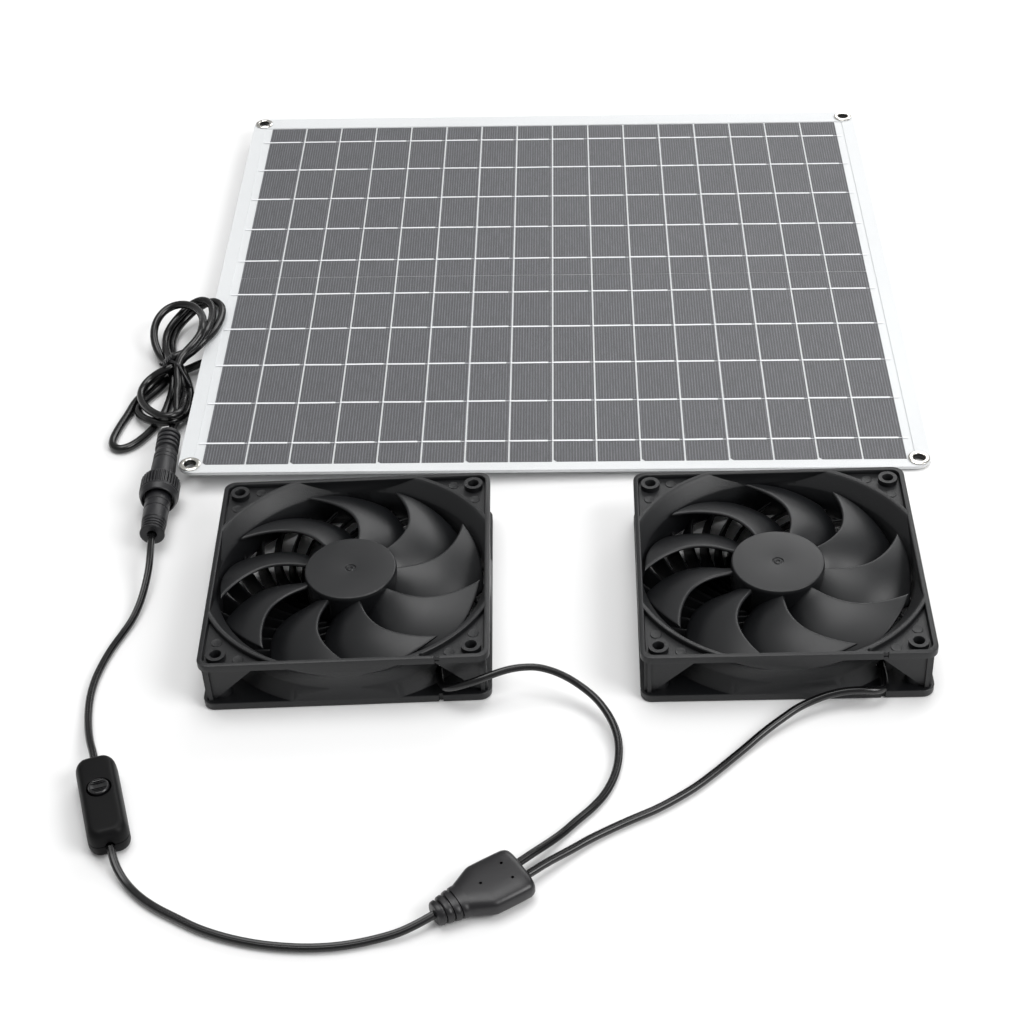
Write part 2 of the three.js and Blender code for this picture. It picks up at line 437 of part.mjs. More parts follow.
// --------------------------------------------------------------------- cords
// every route is in the assembly's frame
const ROUTE = {
  panel_start: [[-172.4, 2.3, 5.3], [-174.2, 2.2, 5.25], [-176.2, 2.0, 5.2], [-178.0, 1.6, 5.0]],
  panel_end: [[-186.0, -50.6, 8.2], [-185.2, -54.4, 9.2], [-184.4, -58.6, 9.7], [-183.83, -63.2, 9.75]],
  switch: [
    [-181.0, -137.2, 9.75], [-180.6, -143.5, 9.6], [-180.0, -150.5, 8.9], [-179.7, -158.8, 7.4], [-180.3, -168.6, 5.4], [-181.5, -177.4, 3.7], [-183.6, -186.0, 2.5], [-186.6, -194.2, 1.95],
    [-189.5, -202.5, 1.95], [-192.0, -212.2, 1.95], [-193.6, -222.1, 1.95], [-193.9, -232.1, 1.95], [-193.0, -241.4, 2.1], [-191.2, -251.0, 2.9], [-188.6, -260.4, 4.3], [-186.2, -267.0, 5.2], [-183.9, -273.9, 5.6],
  ],
  splitter: [
    [-170.3, -318.1, 5.6], [-168.3, -323.8, 4.9], [-166.0, -328.3, 3.4], [-162.3, -333.4, 2.2], [-156.6, -339.5, 1.95], [-149.8, -344.9, 1.95], [-141.0, -350.3, 1.95], [-131.7, -355.6, 1.95], [-120.8, -360.0, 1.95],
    [-109.4, -363.1, 1.95], [-99.1, -364.7, 1.95], [-90.6, -365.3, 1.95], [-82.1, -365.1, 1.95], [-73.8, -364.0, 1.95], [-65.5, -362.2, 2.2], [-57.4, -360.2, 3.1], [-50.8, -357.4, 4.1], [-44.3, -353.7, 5.0],
  ],
  fan_left: [
    [-47.3, -224.7, 6.4], [-46.9, -229.6, 6.5], [-46.2, -234.4, 7.0], [-44.2, -238.2, 8.4], [-41.0, -240.2, 10.4], [-37.0, -241.1, 12.4], [-31.3, -241.0, 14.6], [-25.0, -239.3, 16.0], [-18.7, -237.2, 16.6], [-13.1, -235.8, 16.5],
    [-6.2, -235.2, 15.8], [0.0, -236.0, 14.3], [6.3, -238.1, 12.2], [12.4, -241.6, 9.8], [17.3, -245.7, 7.8], [21.5, -251.4, 5.8], [24.4, -257.6, 4.2], [26.0, -264.9, 3.1], [26.1, -271.7, 2.3], [25.2, -278.6, 1.95],
    [23.2, -285.9, 1.95], [19.9, -293.1, 1.95], [15.0, -300.0, 1.95], [9.0, -306.4, 1.95], [3.4, -312.8, 2.2], [-1.8, -318.4, 3.2], [-7.8, -324.4, 4.4], [-13.4, -329.7, 5.0],
  ],
  fan_right: [
    [134.9, -226.6, 6.4], [135.2, -231.6, 6.4], [135.4, -237.2, 6.0], [134.6, -242.2, 6.2], [131.2, -244.9, 7.6], [125.6, -245.6, 8.6], [118.2, -245.8, 8.4], [109.6, -247.3, 7.2], [99.8, -251.2, 5.6], [92.2, -256.3, 4.2],
    [83.9, -263.0, 3.0], [76.6, -270.0, 2.2], [70.3, -276.2, 1.95], [63.2, -283.3, 1.95], [55.2, -290.6, 1.95], [47.3, -296.5, 1.95], [39.6, -301.5, 1.95], [31.0, -306.0, 1.95], [22.5, -310.7, 1.95], [14.1, -316.0, 2.2],
    [6.2, -322.2, 3.0], [-1.8, -328.6, 4.2], [-9.7, -335.4, 5.0],
  ],
};
piece(assembly, "panel_lead_start", cord(ROUTE.panel_start, LEAD.panel, 3), DARK, 0.5);
piece(assembly, "panel_lead_end", cord(ROUTE.panel_end, LEAD.panel, 5), DARK, 0.5);
piece(assembly, "switch_lead", cord(ROUTE.switch, LEAD.thin, 22), DARK, 0.5);
piece(assembly, "splitter_lead", cord(ROUTE.splitter, LEAD.thin, 24), DARK, 0.5);
piece(assembly, "fan_lead_left", cord(ROUTE.fan_left, LEAD.thin, 34), DARK, 0.5);
piece(assembly, "fan_lead_right", cord(ROUTE.fan_right, LEAD.thin, 34), DARK, 0.5);
{
  // the panel lead's hank: a figure-eight bundle drawn in at the waist by a tie
  const right = [[-186.5, -65.3], [-182, -58], [-179.4, -50], [-178, -42], [-177.6, -34], [-177.6, -24], [-178.8, -18.5], [-179.2, -8], [-178.4, -2.2], [-171, 4], [-169.4, 14], [-167.8, 25], [-167.6, 36], [-170, 43], [-177, 49.2]];
  const left = [[-188, 49.4], [-197, 46], [-203, 41], [-206.6, 30], [-206.6, 16], [-203.4, 7], [-199, 0], [-197.2, -5], [-199, -9], [-203.8, -14], [-208.6, -21], [-211.6, -34], [-214.4, -44], [-215.8, -54], [-215.4, -61], [-211, -65.4]];
  let hank = solid(plate(polygon([...right, ...left]), 0.4, 20.4));
  hank = hank.subtract(solid(block(-230, -150, -90, -9, 12.2, 30)));
  // it steps over the panel's border
  hank = hank.subtract(solid(block(-176.4, -140, -100, 80, -5, 13.8)));
  hank = hank.subtract(solid(block(-179.0, -160, -6, 11, -5, 9.4)));
  hank = hank.subtract(solid(block(-190, -160, -80, -49.4, 0, 30)));
  // the tie stands on edge around the waist, square to the bundle; its outlines are [across, up]
  const waist = new THREE.Matrix4().makeBasis(V3([Math.SQRT1_2, -Math.SQRT1_2, 0]), V3([0, 0, 1]), V3([-Math.SQRT1_2, -Math.SQRT1_2, 0])).setPosition(-187, -11.6, 0);
  const slice = (points, half) => solid(plate(polygon(points), -half, half).applyMatrix4(waist));
  const bundle = [[-9.45, 3.7], [-7.67, 2.3], [-4.94, 2.3], [-2.2, 2.3], [0.54, 2.3], [3.27, 2.3], [6.01, 2.3], [8.75, 2.3], [10, 4.24], [8.42, 6.44], [6.66, 8.53], [4.9, 10.63], [3.13, 12.72], [1.17, 14.56], [-1.53, 14.32], [-4.23, 13.86], [-6.93, 13.4], [-8.99, 11.89], [-9.17, 9.17], [-9.31, 6.43]];
  const inside = [[-9.8, 3.7], [-8.14, 1.9], [-5.29, 1.9], [-2.44, 1.9], [0.41, 1.9], [3.26, 1.9], [6.11, 1.9], [8.95, 1.9], [10.39, 3.99], [8.94, 6.37], [7.1, 8.55], [5.27, 10.73], [3.43, 12.91], [1.4, 14.85], [-1.41, 14.69], [-4.22, 14.22], [-7.03, 13.74], [-9.25, 12.22], [-9.5, 9.39], [-9.65, 6.55]];
  const outside = [[-11.4, 3.7], [-10.27, 0.95], [-7.4, 0.4], [-4.35, 0.4], [-1.31, 0.4], [1.74, 0.4], [4.79, 0.4], [7.83, 0.4], [10.71, 0.92], [11.99, 3.6], [11.01, 6.4], [9.04, 8.73], [7.08, 11.06], [5.12, 13.39], [3.11, 15.67], [0.29, 16.58], [-2.72, 16.09], [-5.72, 15.59], [-8.7, 14.95], [-10.74, 12.8], [-11.08, 9.78], [-11.24, 6.74]];
  hank = hank.subtract(slice([[-17, -2], [17, -2], [17, 30], [-17, 30]], 1.2).subtract(slice(bundle, 3)));
  piece(assembly, "panel_lead_hank", hank, DARK, 0.5);
  const tie = slice(outside, 0.85).subtract(slice(inside, 3));
  piece(assembly, "twist_tie", tie, 0x17181a, 0.4);
}

export default assembly;
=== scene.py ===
# Solar attic fan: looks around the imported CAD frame. Lengths in this file are millimetres
# and are turned into metres when a mesh is made.
import json
import math
import bpy
import bmesh
import numpy as np
from mathutils import Matrix, Vector


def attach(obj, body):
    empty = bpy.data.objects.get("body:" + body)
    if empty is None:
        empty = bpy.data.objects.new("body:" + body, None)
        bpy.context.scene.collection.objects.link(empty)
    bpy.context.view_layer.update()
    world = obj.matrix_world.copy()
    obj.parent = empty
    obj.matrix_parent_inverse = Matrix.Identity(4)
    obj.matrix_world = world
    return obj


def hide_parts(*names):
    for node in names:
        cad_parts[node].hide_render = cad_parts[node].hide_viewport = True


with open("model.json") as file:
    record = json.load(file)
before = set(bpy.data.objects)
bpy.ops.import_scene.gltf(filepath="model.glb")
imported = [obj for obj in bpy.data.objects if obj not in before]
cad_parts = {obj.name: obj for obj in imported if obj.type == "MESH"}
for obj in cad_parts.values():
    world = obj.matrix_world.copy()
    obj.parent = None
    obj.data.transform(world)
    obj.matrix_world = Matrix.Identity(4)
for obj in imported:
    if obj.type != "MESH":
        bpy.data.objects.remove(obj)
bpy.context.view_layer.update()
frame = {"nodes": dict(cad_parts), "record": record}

NODES = frame["nodes"]
MM = 0.001
rad = math.radians

# ------------------------------------------------------------------ placing
PANEL_Y, PANEL_Z, TILT = 73.8, 5.01, rad(1.4414)
FAN = {"left": (-86.5, -178.7, rad(1.12), rad(3.9)), "right": (96.24, -181.5, rad(-0.33), rad(31.7))}
CON0, CON1 = np.array([-183.8, -63.6, 9.75]), np.array([-181.0, -136.9, 9.75])
SWITCH = (-177.1, -296.1, math.atan2(-0.9555, 0.295))
SPLIT = (-44.0, -353.5, math.atan2(0.53, 0.848))


def rotz(a):
    c, s = math.cos(a), math.sin(a)
    return np.array([[c, -s, 0], [s, c, 0], [0, 0, 1.0]])


PANEL_R = np.array([[math.cos(TILT), 0, math.sin(TILT)], [0, 1, 0], [-math.sin(TILT), 0, math.cos(TILT)]])
PANEL_M = (PANEL_R, np.array([0, PANEL_Y, PANEL_Z]))
FAN_M = {k: (rotz(v[2]), np.array([v[0], v[1], 0.0])) for k, v in FAN.items()}
SWITCH_M = (rotz(SWITCH[2]), np.array([SWITCH[0], SWITCH[1], 0.0]))
SPLIT_M = (rotz(SPLIT[2]), np.array([SPLIT[0], SPLIT[1], 0.0]))


def line_frame(a, b):
    """Local Z runs from a to b, local Y stays as near to up as it can."""
    z = (b - a) / np.linalg.norm(b - a)
    x = np.cross([0, 0, 1.0], z)
    x /= np.linalg.norm(x)
    y = np.cross(z, x)
    return (np.stack([x, y, z], axis=1), a)


CON_M = line_frame(CON0, CON1)


def put(M, v):
    v = np.asarray(v, float)
    return v if M is None else v @ M[0].T + M[1]


# ------------------------------------------------------------------- camera
cam_data = bpy.data.cameras.new("camera")
cam = bpy.data.objects.new("camera", cam_data)
bpy.context.scene.collection.objects.link(cam)
cam_data.sensor_width = 36.0
cam_data.lens = 36.0 * 2041.37 / 1024.0
cam_data.clip_start, cam_data.clip_end = 0.05, 20.0
right = Vector((0.9987485, 0.0147171, -0.0477995))
up = Vector((0.0273759, 0.6389721, 0.7687426))
back = Vector((0.0418562, -0.7690891, 0.6377695))
m = Matrix((right, up, back)).transposed().to_4x4()
m.translation = Vector((0.0202537, -0.837206, 0.597898))
cam.matrix_world = m
bpy.context.scene.camera = cam

# ---------------------------------------------------------------- materials
def srgb(v):
    """An 8-bit display colour as linear RGBA."""
    out = []
    for c in v:
        c = c / 255.0
        out.append(c / 12.92 if c <= 0.04045 else ((c + 0.055) / 1.055) ** 2.4)
    return tuple(out) + (1.0,)


class Tree:
    """A small helper over a material's node tree."""

    def __init__(self, name):
        self.mat = bpy.data.materials.new(name)
        self.mat.use_nodes = True
        self.t = self.mat.node_tree
        self.t.nodes.clear()
        self.out = self.t.nodes.new("ShaderNodeOutputMaterial")
        self.bsdf = self.t.nodes.new("ShaderNodeBsdfPrincipled")
        self.t.links.new(self.bsdf.outputs[0], self.out.inputs[0])
        self.co = self.t.nodes.new("ShaderNodeTexCoord").outputs["Object"]

    def node(self, kind, **kw):
        n = self.t.nodes.new("ShaderNode" + kind)
        for k, v in kw.items():
            setattr(n, k, v)
        return n

    def link(self, a, b):
        self.t.links.new(a, b)

    def scaled(self, sx, sy=None, sz=None):
        n = self.node("Mapping")
        n.inputs["Scale"].default_value = (sx, sx if sy is None else sy, sx if sz is None else sz)
        self.link(self.co, n.inputs["Vector"])
        return n.outputs[0]

    def noise(self, scale, detail=3.0, rough=0.55, vec=None):
        n = self.node("TexNoise")
        n.inputs["Scale"].default_value = scale
        n.inputs["Detail"].default_value = detail
        n.inputs["Roughness"].default_value = rough
        self.link(vec or self.co, n.inputs["Vector"])
        return n.outputs["Fac"]

    def voronoi(self, scale, feature="F1", vec=None):
        n = self.node("TexVoronoi", feature=feature)
        n.inputs["Scale"].default_value = scale
        self.link(vec or self.co, n.inputs["Vector"])
        return n.outputs["Distance"]

    def math(self, op, a, b=None, c=None, clamp=False):
        n = self.node("Math", operation=op, use_clamp=clamp)
        for i, v in enumerate((a, b, c)):
            if v is None:
                continue
            if isinstance(v, (int, float)):
                n.inputs[i].default_value = v
            else:
                self.link(v, n.inputs[i])
        return n.outputs[0]

    def ramp(self, fac, stops):
        n = self.node("ValToRGB")
        r = n.color_ramp
        while len(r.elements) > len(stops):
            r.elements.remove(r.elements[-1])
        while len(r.elements) < len(stops):
            r.elements.new(0.5)
        for e, (p, c) in zip(r.elements, stops):
            e.position = p
            e.color = c if len(c) == 4 else tuple(c) + (1.0,)
        self.link(fac, n.inputs[0])
        return n.outputs[0]

    def maprange(self, fac, a, b, c, d):
        n = self.node("MapRange")
        for i, v in zip((1, 2, 3, 4), (a, b, c, d)):
            n.inputs[i].default_value = v
        self.link(fac, n.inputs[0])
        return n.outputs[0]

    def mix(self, fac, a, b, mode="MIX"):
        n = self.node("Mix", data_type="RGBA", blend_type=mode)
        for s, v in ((n.inputs[0], fac), (n.inputs[6], a), (n.inputs[7], b)):
            if isinstance(v, (int, float)):
                s.default_value = v
            elif isinstance(v, tuple):
                s.default_value = v
            else:
                self.link(v, s)
        return n.outputs[2]

    def bump(self, height, strength, distance, normal=None):
        n = self.node("Bump")
        n.inputs["Strength"].default_value = strength
        n.inputs["Distance"].default_value = distance
        self.link(height, n.inputs["Height"])
        if normal is not None:
            self.link(normal, n.inputs["Normal"])
        return n.outputs[0]

    def set(self, **kw):
        for k, v in kw.items():
            s = self.bsdf.inputs[k.replace("_", " ")]
            if isinstance(v, (int, float, tuple)):
                s.default_value = v
            else:
                self.link(v, s)
        return self


def moulded(name, rgb, rough, grain=900.0, depth=0.00003, strength=0.35, vary=0.10, spec=0.5, blotch=28.0):
    """Moulded plastic: a fine spark-eroded grain, slow cloudiness in colour and gloss."""
    t = Tree(name)
    base = srgb(rgb)
    dark = tuple(c * (1 - vary) for c in base[:3]) + (1.0,)
    light = tuple(min(1.0, c * (1 + vary)) for c in base[:3]) + (1.0,)
    cloud = t.noise(blotch, 4.0, 0.6)
    fine = t.noise(grain, 4.0, 0.7)
    col = t.mix(t.maprange(cloud, 0.3, 0.7, 0.0, 1.0), dark, light)
    col = t.mix(t.maprange(fine, 0.35, 0.65, 0.0, 0.35), col, tuple(min(1.0, c * 1.25) for c in base[:3]) + (1.0,))
    t.set(Base_Color=col, Roughness=t.math("ADD", t.maprange(cloud, 0.25, 0.75, rough - 0.05, rough + 0.05), t.maprange(fine, 0.3, 0.7, -0.03, 0.03)))
    t.set(Normal=t.bump(fine, strength, depth))
    t.bsdf.inputs["Specular IOR Level"].default_value = spec
    return t.mat


def metal(name, rgb, rough, streak=(1, 1, 1), vary=0.08):
    t = Tree(name)
    base = srgb(rgb)
    n = t.noise(400.0, 4.0, 0.6, t.scaled(*streak))
    col = t.mix(t.maprange(n, 0.3, 0.7, 0.0, 1.0), tuple(c * (1 - vary) for c in base[:3]) + (1.0,), tuple(min(1, c * (1 + vary)) for c in base[:3]) + (1.0,))
    t.set(Base_Color=col, Metallic=1.0, Roughness=t.maprange(n, 0.25, 0.75, rough - 0.07, rough + 0.07), Normal=t.bump(n, 0.25, 0.00002))
    return t.mat


# ------------------------------------------------------------------- meshes
def link_obj(ob):
    bpy.context.scene.collection.objects.link(ob)
    return ob


def make(name, verts, faces, mat=None, M=None, smooth=True):
    v = put(M, np.asarray(verts, float)) * MM
    me = bpy.data.meshes.new(name)
    me.from_pydata([tuple(p) for p in v], [], [tuple(int(i) for i in f) for f in faces])
    me.validate()
    me.update()
    if smooth:
        me.shade_smooth()
    ob = link_obj(bpy.data.objects.new(name, me))
    if mat:
        me.materials.append(mat)
    return ob


def lathe_data(profile, seg=96, closed=False, a0=0.0):
    """Revolves [r, z] points about Z. Points with r 0 become single vertices."""
    prof = [tuple(p) for p in profile]
    verts, rows = [], []
    for r, z in prof:
        if r < 1e-6:
            rows.append([len(verts)])
            verts.append((0, 0, z))
        else:
            rows.append(list(range(len(verts), len(verts) + seg)))
            for k in range(seg):
                a = a0 + 2 * math.pi * k / seg
                verts.append((r * math.cos(a), r * math.sin(a), z))
    faces = []
    pairs = list(zip(rows[:-1], rows[1:])) + ([(rows[-1], rows[0])] if closed else [])
    for A, B in pairs:
        for k in range(seg):
            j = (k + 1) % seg
            if len(A) == 1 and len(B) == 1:
                continue
            if len(A) == 1:
                faces.append((A[0], B[j], B[k]))
            elif len(B) == 1:
                faces.append((A[k], A[j], B[0]))
            else:
                faces.append((A[k], A[j], B[j], B[k]))
    return verts, faces


def rounded(profile, r=0.25, n=3, closed=False):
    """Rounds the corners of a 2-D profile."""
    P = [np.array(p[:2], float) for p in profile]
    R = [(p[2] if len(p) > 2 else r) for p in profile]
    out = []
    N = len(P)
    for i in range(N):
        if not closed and i in (0, N - 1):
            out.append(tuple(P[i]))
            continue
        a, b, c = P[i - 1], P[i], P[(i + 1) % N]
        u, v = a - b, c - b
        lu, lv = np.linalg.norm(u), np.linalg.norm(v)
        if lu < 1e-9 or lv < 1e-9:
            out.append(tuple(b))
            continue
        u, v = u / lu, v / lv
        ang = math.acos(max(-1, min(1, float(u @ v))))
        if ang > math.pi - 0.05 or R[i] <= 0:
            out.append(tuple(b))
            continue
        d = min(R[i] / math.tan(ang / 2), lu * 0.45, lv * 0.45)
        for k in range(n + 1):
            t = k / n
            q = (1 - t) ** 2 * (b + u * d) + 2 * t * (1 - t) * b + t * t * (b + v * d)
            out.append(tuple(q))
    return out


def fix_normals(ob):
    bm = bmesh.new()
    bm.from_mesh(ob.data)
    bmesh.ops.remove_doubles(bm, verts=bm.verts, dist=1e-7)
    bmesh.ops.recalc_face_normals(bm, faces=bm.faces)
    bm.to_mesh(ob.data)
    bm.free()
    ob.data.update()
    return ob


def autosmooth(ob, deg=32):
    """Sharp edges where faces meet at more than deg, smooth elsewhere."""
    me = ob.data
    bm = bmesh.new()
    bm.from_mesh(me)
    lim = rad(deg)
    for f in bm.faces:
        f.smooth = True
    for e in bm.edges:
        e.smooth = not (len(e.link_faces) == 2 and e.calc_face_angle(0.0) > lim)
    bm.to_mesh(me)
    bm.free()
    me.update()
    return ob


def turned(name, profile, mat, M=None, seg=96, round_=0.25, closed=True, deg=35, n=3):
    p = rounded(profile, round_, n, closed) if round_ else [q[:2] for q in profile]
    v, f = lathe_data(p, seg, closed)
    ob = make(name, v, f, mat, M)
    return autosmooth(fix_normals(ob), deg)


def smooth_path(points, step):
    """A smooth curve through the points, resampled every step mm."""
    P = np.array(points, float)
    d = np.r_[0, np.cumsum(np.sqrt(np.linalg.norm(np.diff(P, axis=0), axis=1)))]
    out = []
    P2 = np.vstack([2 * P[0] - P[1], P, 2 * P[-1] - P[-2]])
    t = np.r_[-d[1], d, d[-1] + (d[-1] - d[-2])]
    for i in range(1, len(P2) - 2):
        t0, t1, t2, t3 = t[i - 1], t[i], t[i + 1], t[i + 2]
        p0, p1, p2, p3 = P2[i - 1], P2[i], P2[i + 1], P2[i + 2]
        for s in np.linspace(t1, t2, 24, endpoint=False):
            A1 = (t1 - s) / (t1 - t0) * p0 + (s - t0) / (t1 - t0) * p1
            A2 = (t2 - s) / (t2 - t1) * p1 + (s - t1) / (t2 - t1) * p2
            A3 = (t3 - s) / (t3 - t2) * p2 + (s - t2) / (t3 - t2) * p3
            B1 = (t2 - s) / (t2 - t0) * A1 + (s - t0) / (t2 - t0) * A2
            B2 = (t3 - s) / (t3 - t1) * A2 + (s - t1) / (t3 - t1) * A3
            out.append((t2 - s) / (t2 - t1) * B1 + (s - t1) / (t2 - t1) * B2)
    out.append(P[-1])
    q = np.array(out)
    L = np.r_[0, np.cumsum(np.linalg.norm(np.diff(q, axis=0), axis=1))]
    n = max(2, int(round(L[-1] / step)) + 1)
    s = np.linspace(0, L[-1], n)
    q = np.stack([np.interp(s, L, q[:, k]) for k in range(3)], axis=1)
    for _ in range(2):  # take the facets of the resampling out
        q[1:-1] = 0.25 * q[:-2] + 0.5 * q[1:-1] + 0.25 * q[2:]
    return q


def length_of(q):
    return float(np.linalg.norm(np.diff(q, axis=0), axis=1).sum())


def sweep(name, path, section, mat, M=None, up0=(0, 0, 1), keep_up=False, deg=60):
    """Carries a closed 2-D section (a list, or a function of distance along) along a path."""
    q = np.asarray(path, float)
    n = len(q)
    T = np.gradient(q, axis=0)
    T /= np.linalg.norm(T, axis=1)[:, None]
    u = np.array(up0, float)
    verts, faces = [], []
    s = np.r_[0, np.cumsum(np.linalg.norm(np.diff(q, axis=0), axis=1))]
    m_ = None
    for i in range(n):
        if keep_up:
            u = np.array(up0, float)
        u = u - T[i] * (u @ T[i])
        u /= np.linalg.norm(u)
        w = np.cross(T[i], u)
        sec = section(s[i]) if callable(section) else section
        m_ = len(sec)
        for a, b in sec:
            verts.append(q[i] + w * a + u * b)
    for i in range(n - 1):
        for k in range(m_):
            j = (k + 1) % m_
            faces.append((i * m_ + k, i * m_ + j, (i + 1) * m_ + j, (i + 1) * m_ + k))
    faces.append(tuple(range(m_))[::-1])
    faces.append(tuple((n - 1) * m_ + k for k in range(m_)))
    ob = make(name, verts, faces, mat, M)
    return autosmooth(fix_normals(ob), deg)


def ring(r, n=20):
    return [(r * math.cos(2 * math.pi * k / n), r * math.sin(2 * math.pi * k / n)) for k in range(n)]


# -------------------------------------------------------------------- cords
jacket = moulded("cable_jacket", (8, 8, 9), 0.25, grain=500.0, depth=0.00002, strength=0.15, vary=0.12, spec=0.5)
tie_mat = moulded("tie_plastic", (30, 30, 32), 0.26, grain=700.0, strength=0.15, vary=0.08)
ROUTE = {
    "switch": [
        (-181.0, -137.2, 9.75), (-180.6, -143.5, 9.6), (-180.0, -150.5, 8.9), (-179.7, -158.8, 7.4), (-180.3, -168.6, 5.4), (-181.5, -177.4, 3.7), (-183.6, -186.0, 2.5), (-186.6, -194.2, 1.95),
        (-189.5, -202.5, 1.95), (-192.0, -212.2, 1.95), (-193.6, -222.1, 1.95), (-193.9, -232.1, 1.95), (-193.0, -241.4, 2.1), (-191.2, -251.0, 2.9), (-188.6, -260.4, 4.3), (-186.2, -267.0, 5.2), (-183.9, -273.9, 5.6),
    ],
    "splitter": [
        (-170.3, -318.1, 5.6), (-168.3, -323.8, 4.9), (-166.0, -328.3, 3.4), (-162.3, -333.4, 2.2), (-156.6, -339.5, 1.95), (-149.8, -344.9, 1.95), (-141.0, -350.3, 1.95), (-131.7, -355.6, 1.95), (-120.8, -360.0, 1.95),
        (-109.4, -363.1, 1.95), (-99.1, -364.7, 1.95), (-90.6, -365.3, 1.95), (-82.1, -365.1, 1.95), (-73.8, -364.0, 1.95), (-65.5, -362.2, 2.2), (-57.4, -360.2, 3.1), (-50.8, -357.4, 4.1), (-44.3, -353.7, 5.0),
    ],
    "fan_left": [
        (-47.3, -224.7, 6.4), (-46.9, -229.6, 6.5), (-46.2, -234.4, 7.0), (-44.2, -238.2, 8.4), (-41.0, -240.2, 10.4), (-37.0, -241.1, 12.4), (-31.3, -241.0, 14.6), (-25.0, -239.3, 16.0), (-18.7, -237.2, 16.6), (-13.1, -235.8, 16.5),
        (-6.2, -235.2, 15.8), (0.0, -236.0, 14.3), (6.3, -238.1, 12.2), (12.4, -241.6, 9.8), (17.3, -245.7, 7.8), (21.5, -251.4, 5.8), (24.4, -257.6, 4.2), (26.0, -264.9, 3.1), (26.1, -271.7, 2.3), (25.2, -278.6, 1.95),
        (23.2, -285.9, 1.95), (19.9, -293.1, 1.95), (15.0, -300.0, 1.95), (9.0, -306.4, 1.95), (3.4, -312.8, 2.2), (-1.8, -318.4, 3.2), (-7.8, -324.4, 4.4), (-13.4, -329.7, 5.0),
    ],
    "fan_right": [
        (134.9, -226.6, 6.4), (135.2, -231.6, 6.4), (135.4, -237.2, 6.0), (134.6, -242.2, 6.2), (131.2, -244.9, 7.6), (125.6, -245.6, 8.6), (118.2, -245.8, 8.4), (109.6, -247.3, 7.2), (99.8, -251.2, 5.6), (92.2, -256.3, 4.2),
        (83.9, -263.0, 3.0), (76.6, -270.0, 2.2), (70.3, -276.2, 1.95), (63.2, -283.3, 1.95), (55.2, -290.6, 1.95), (47.3, -296.5, 1.95), (39.6, -301.5, 1.95), (31.0, -306.0, 1.95), (22.5, -310.7, 1.95), (14.1, -316.0, 2.2),
        (6.2, -322.2, 3.0), (-1.8, -328.6, 4.2), (-9.7, -335.4, 5.0),
    ],
}
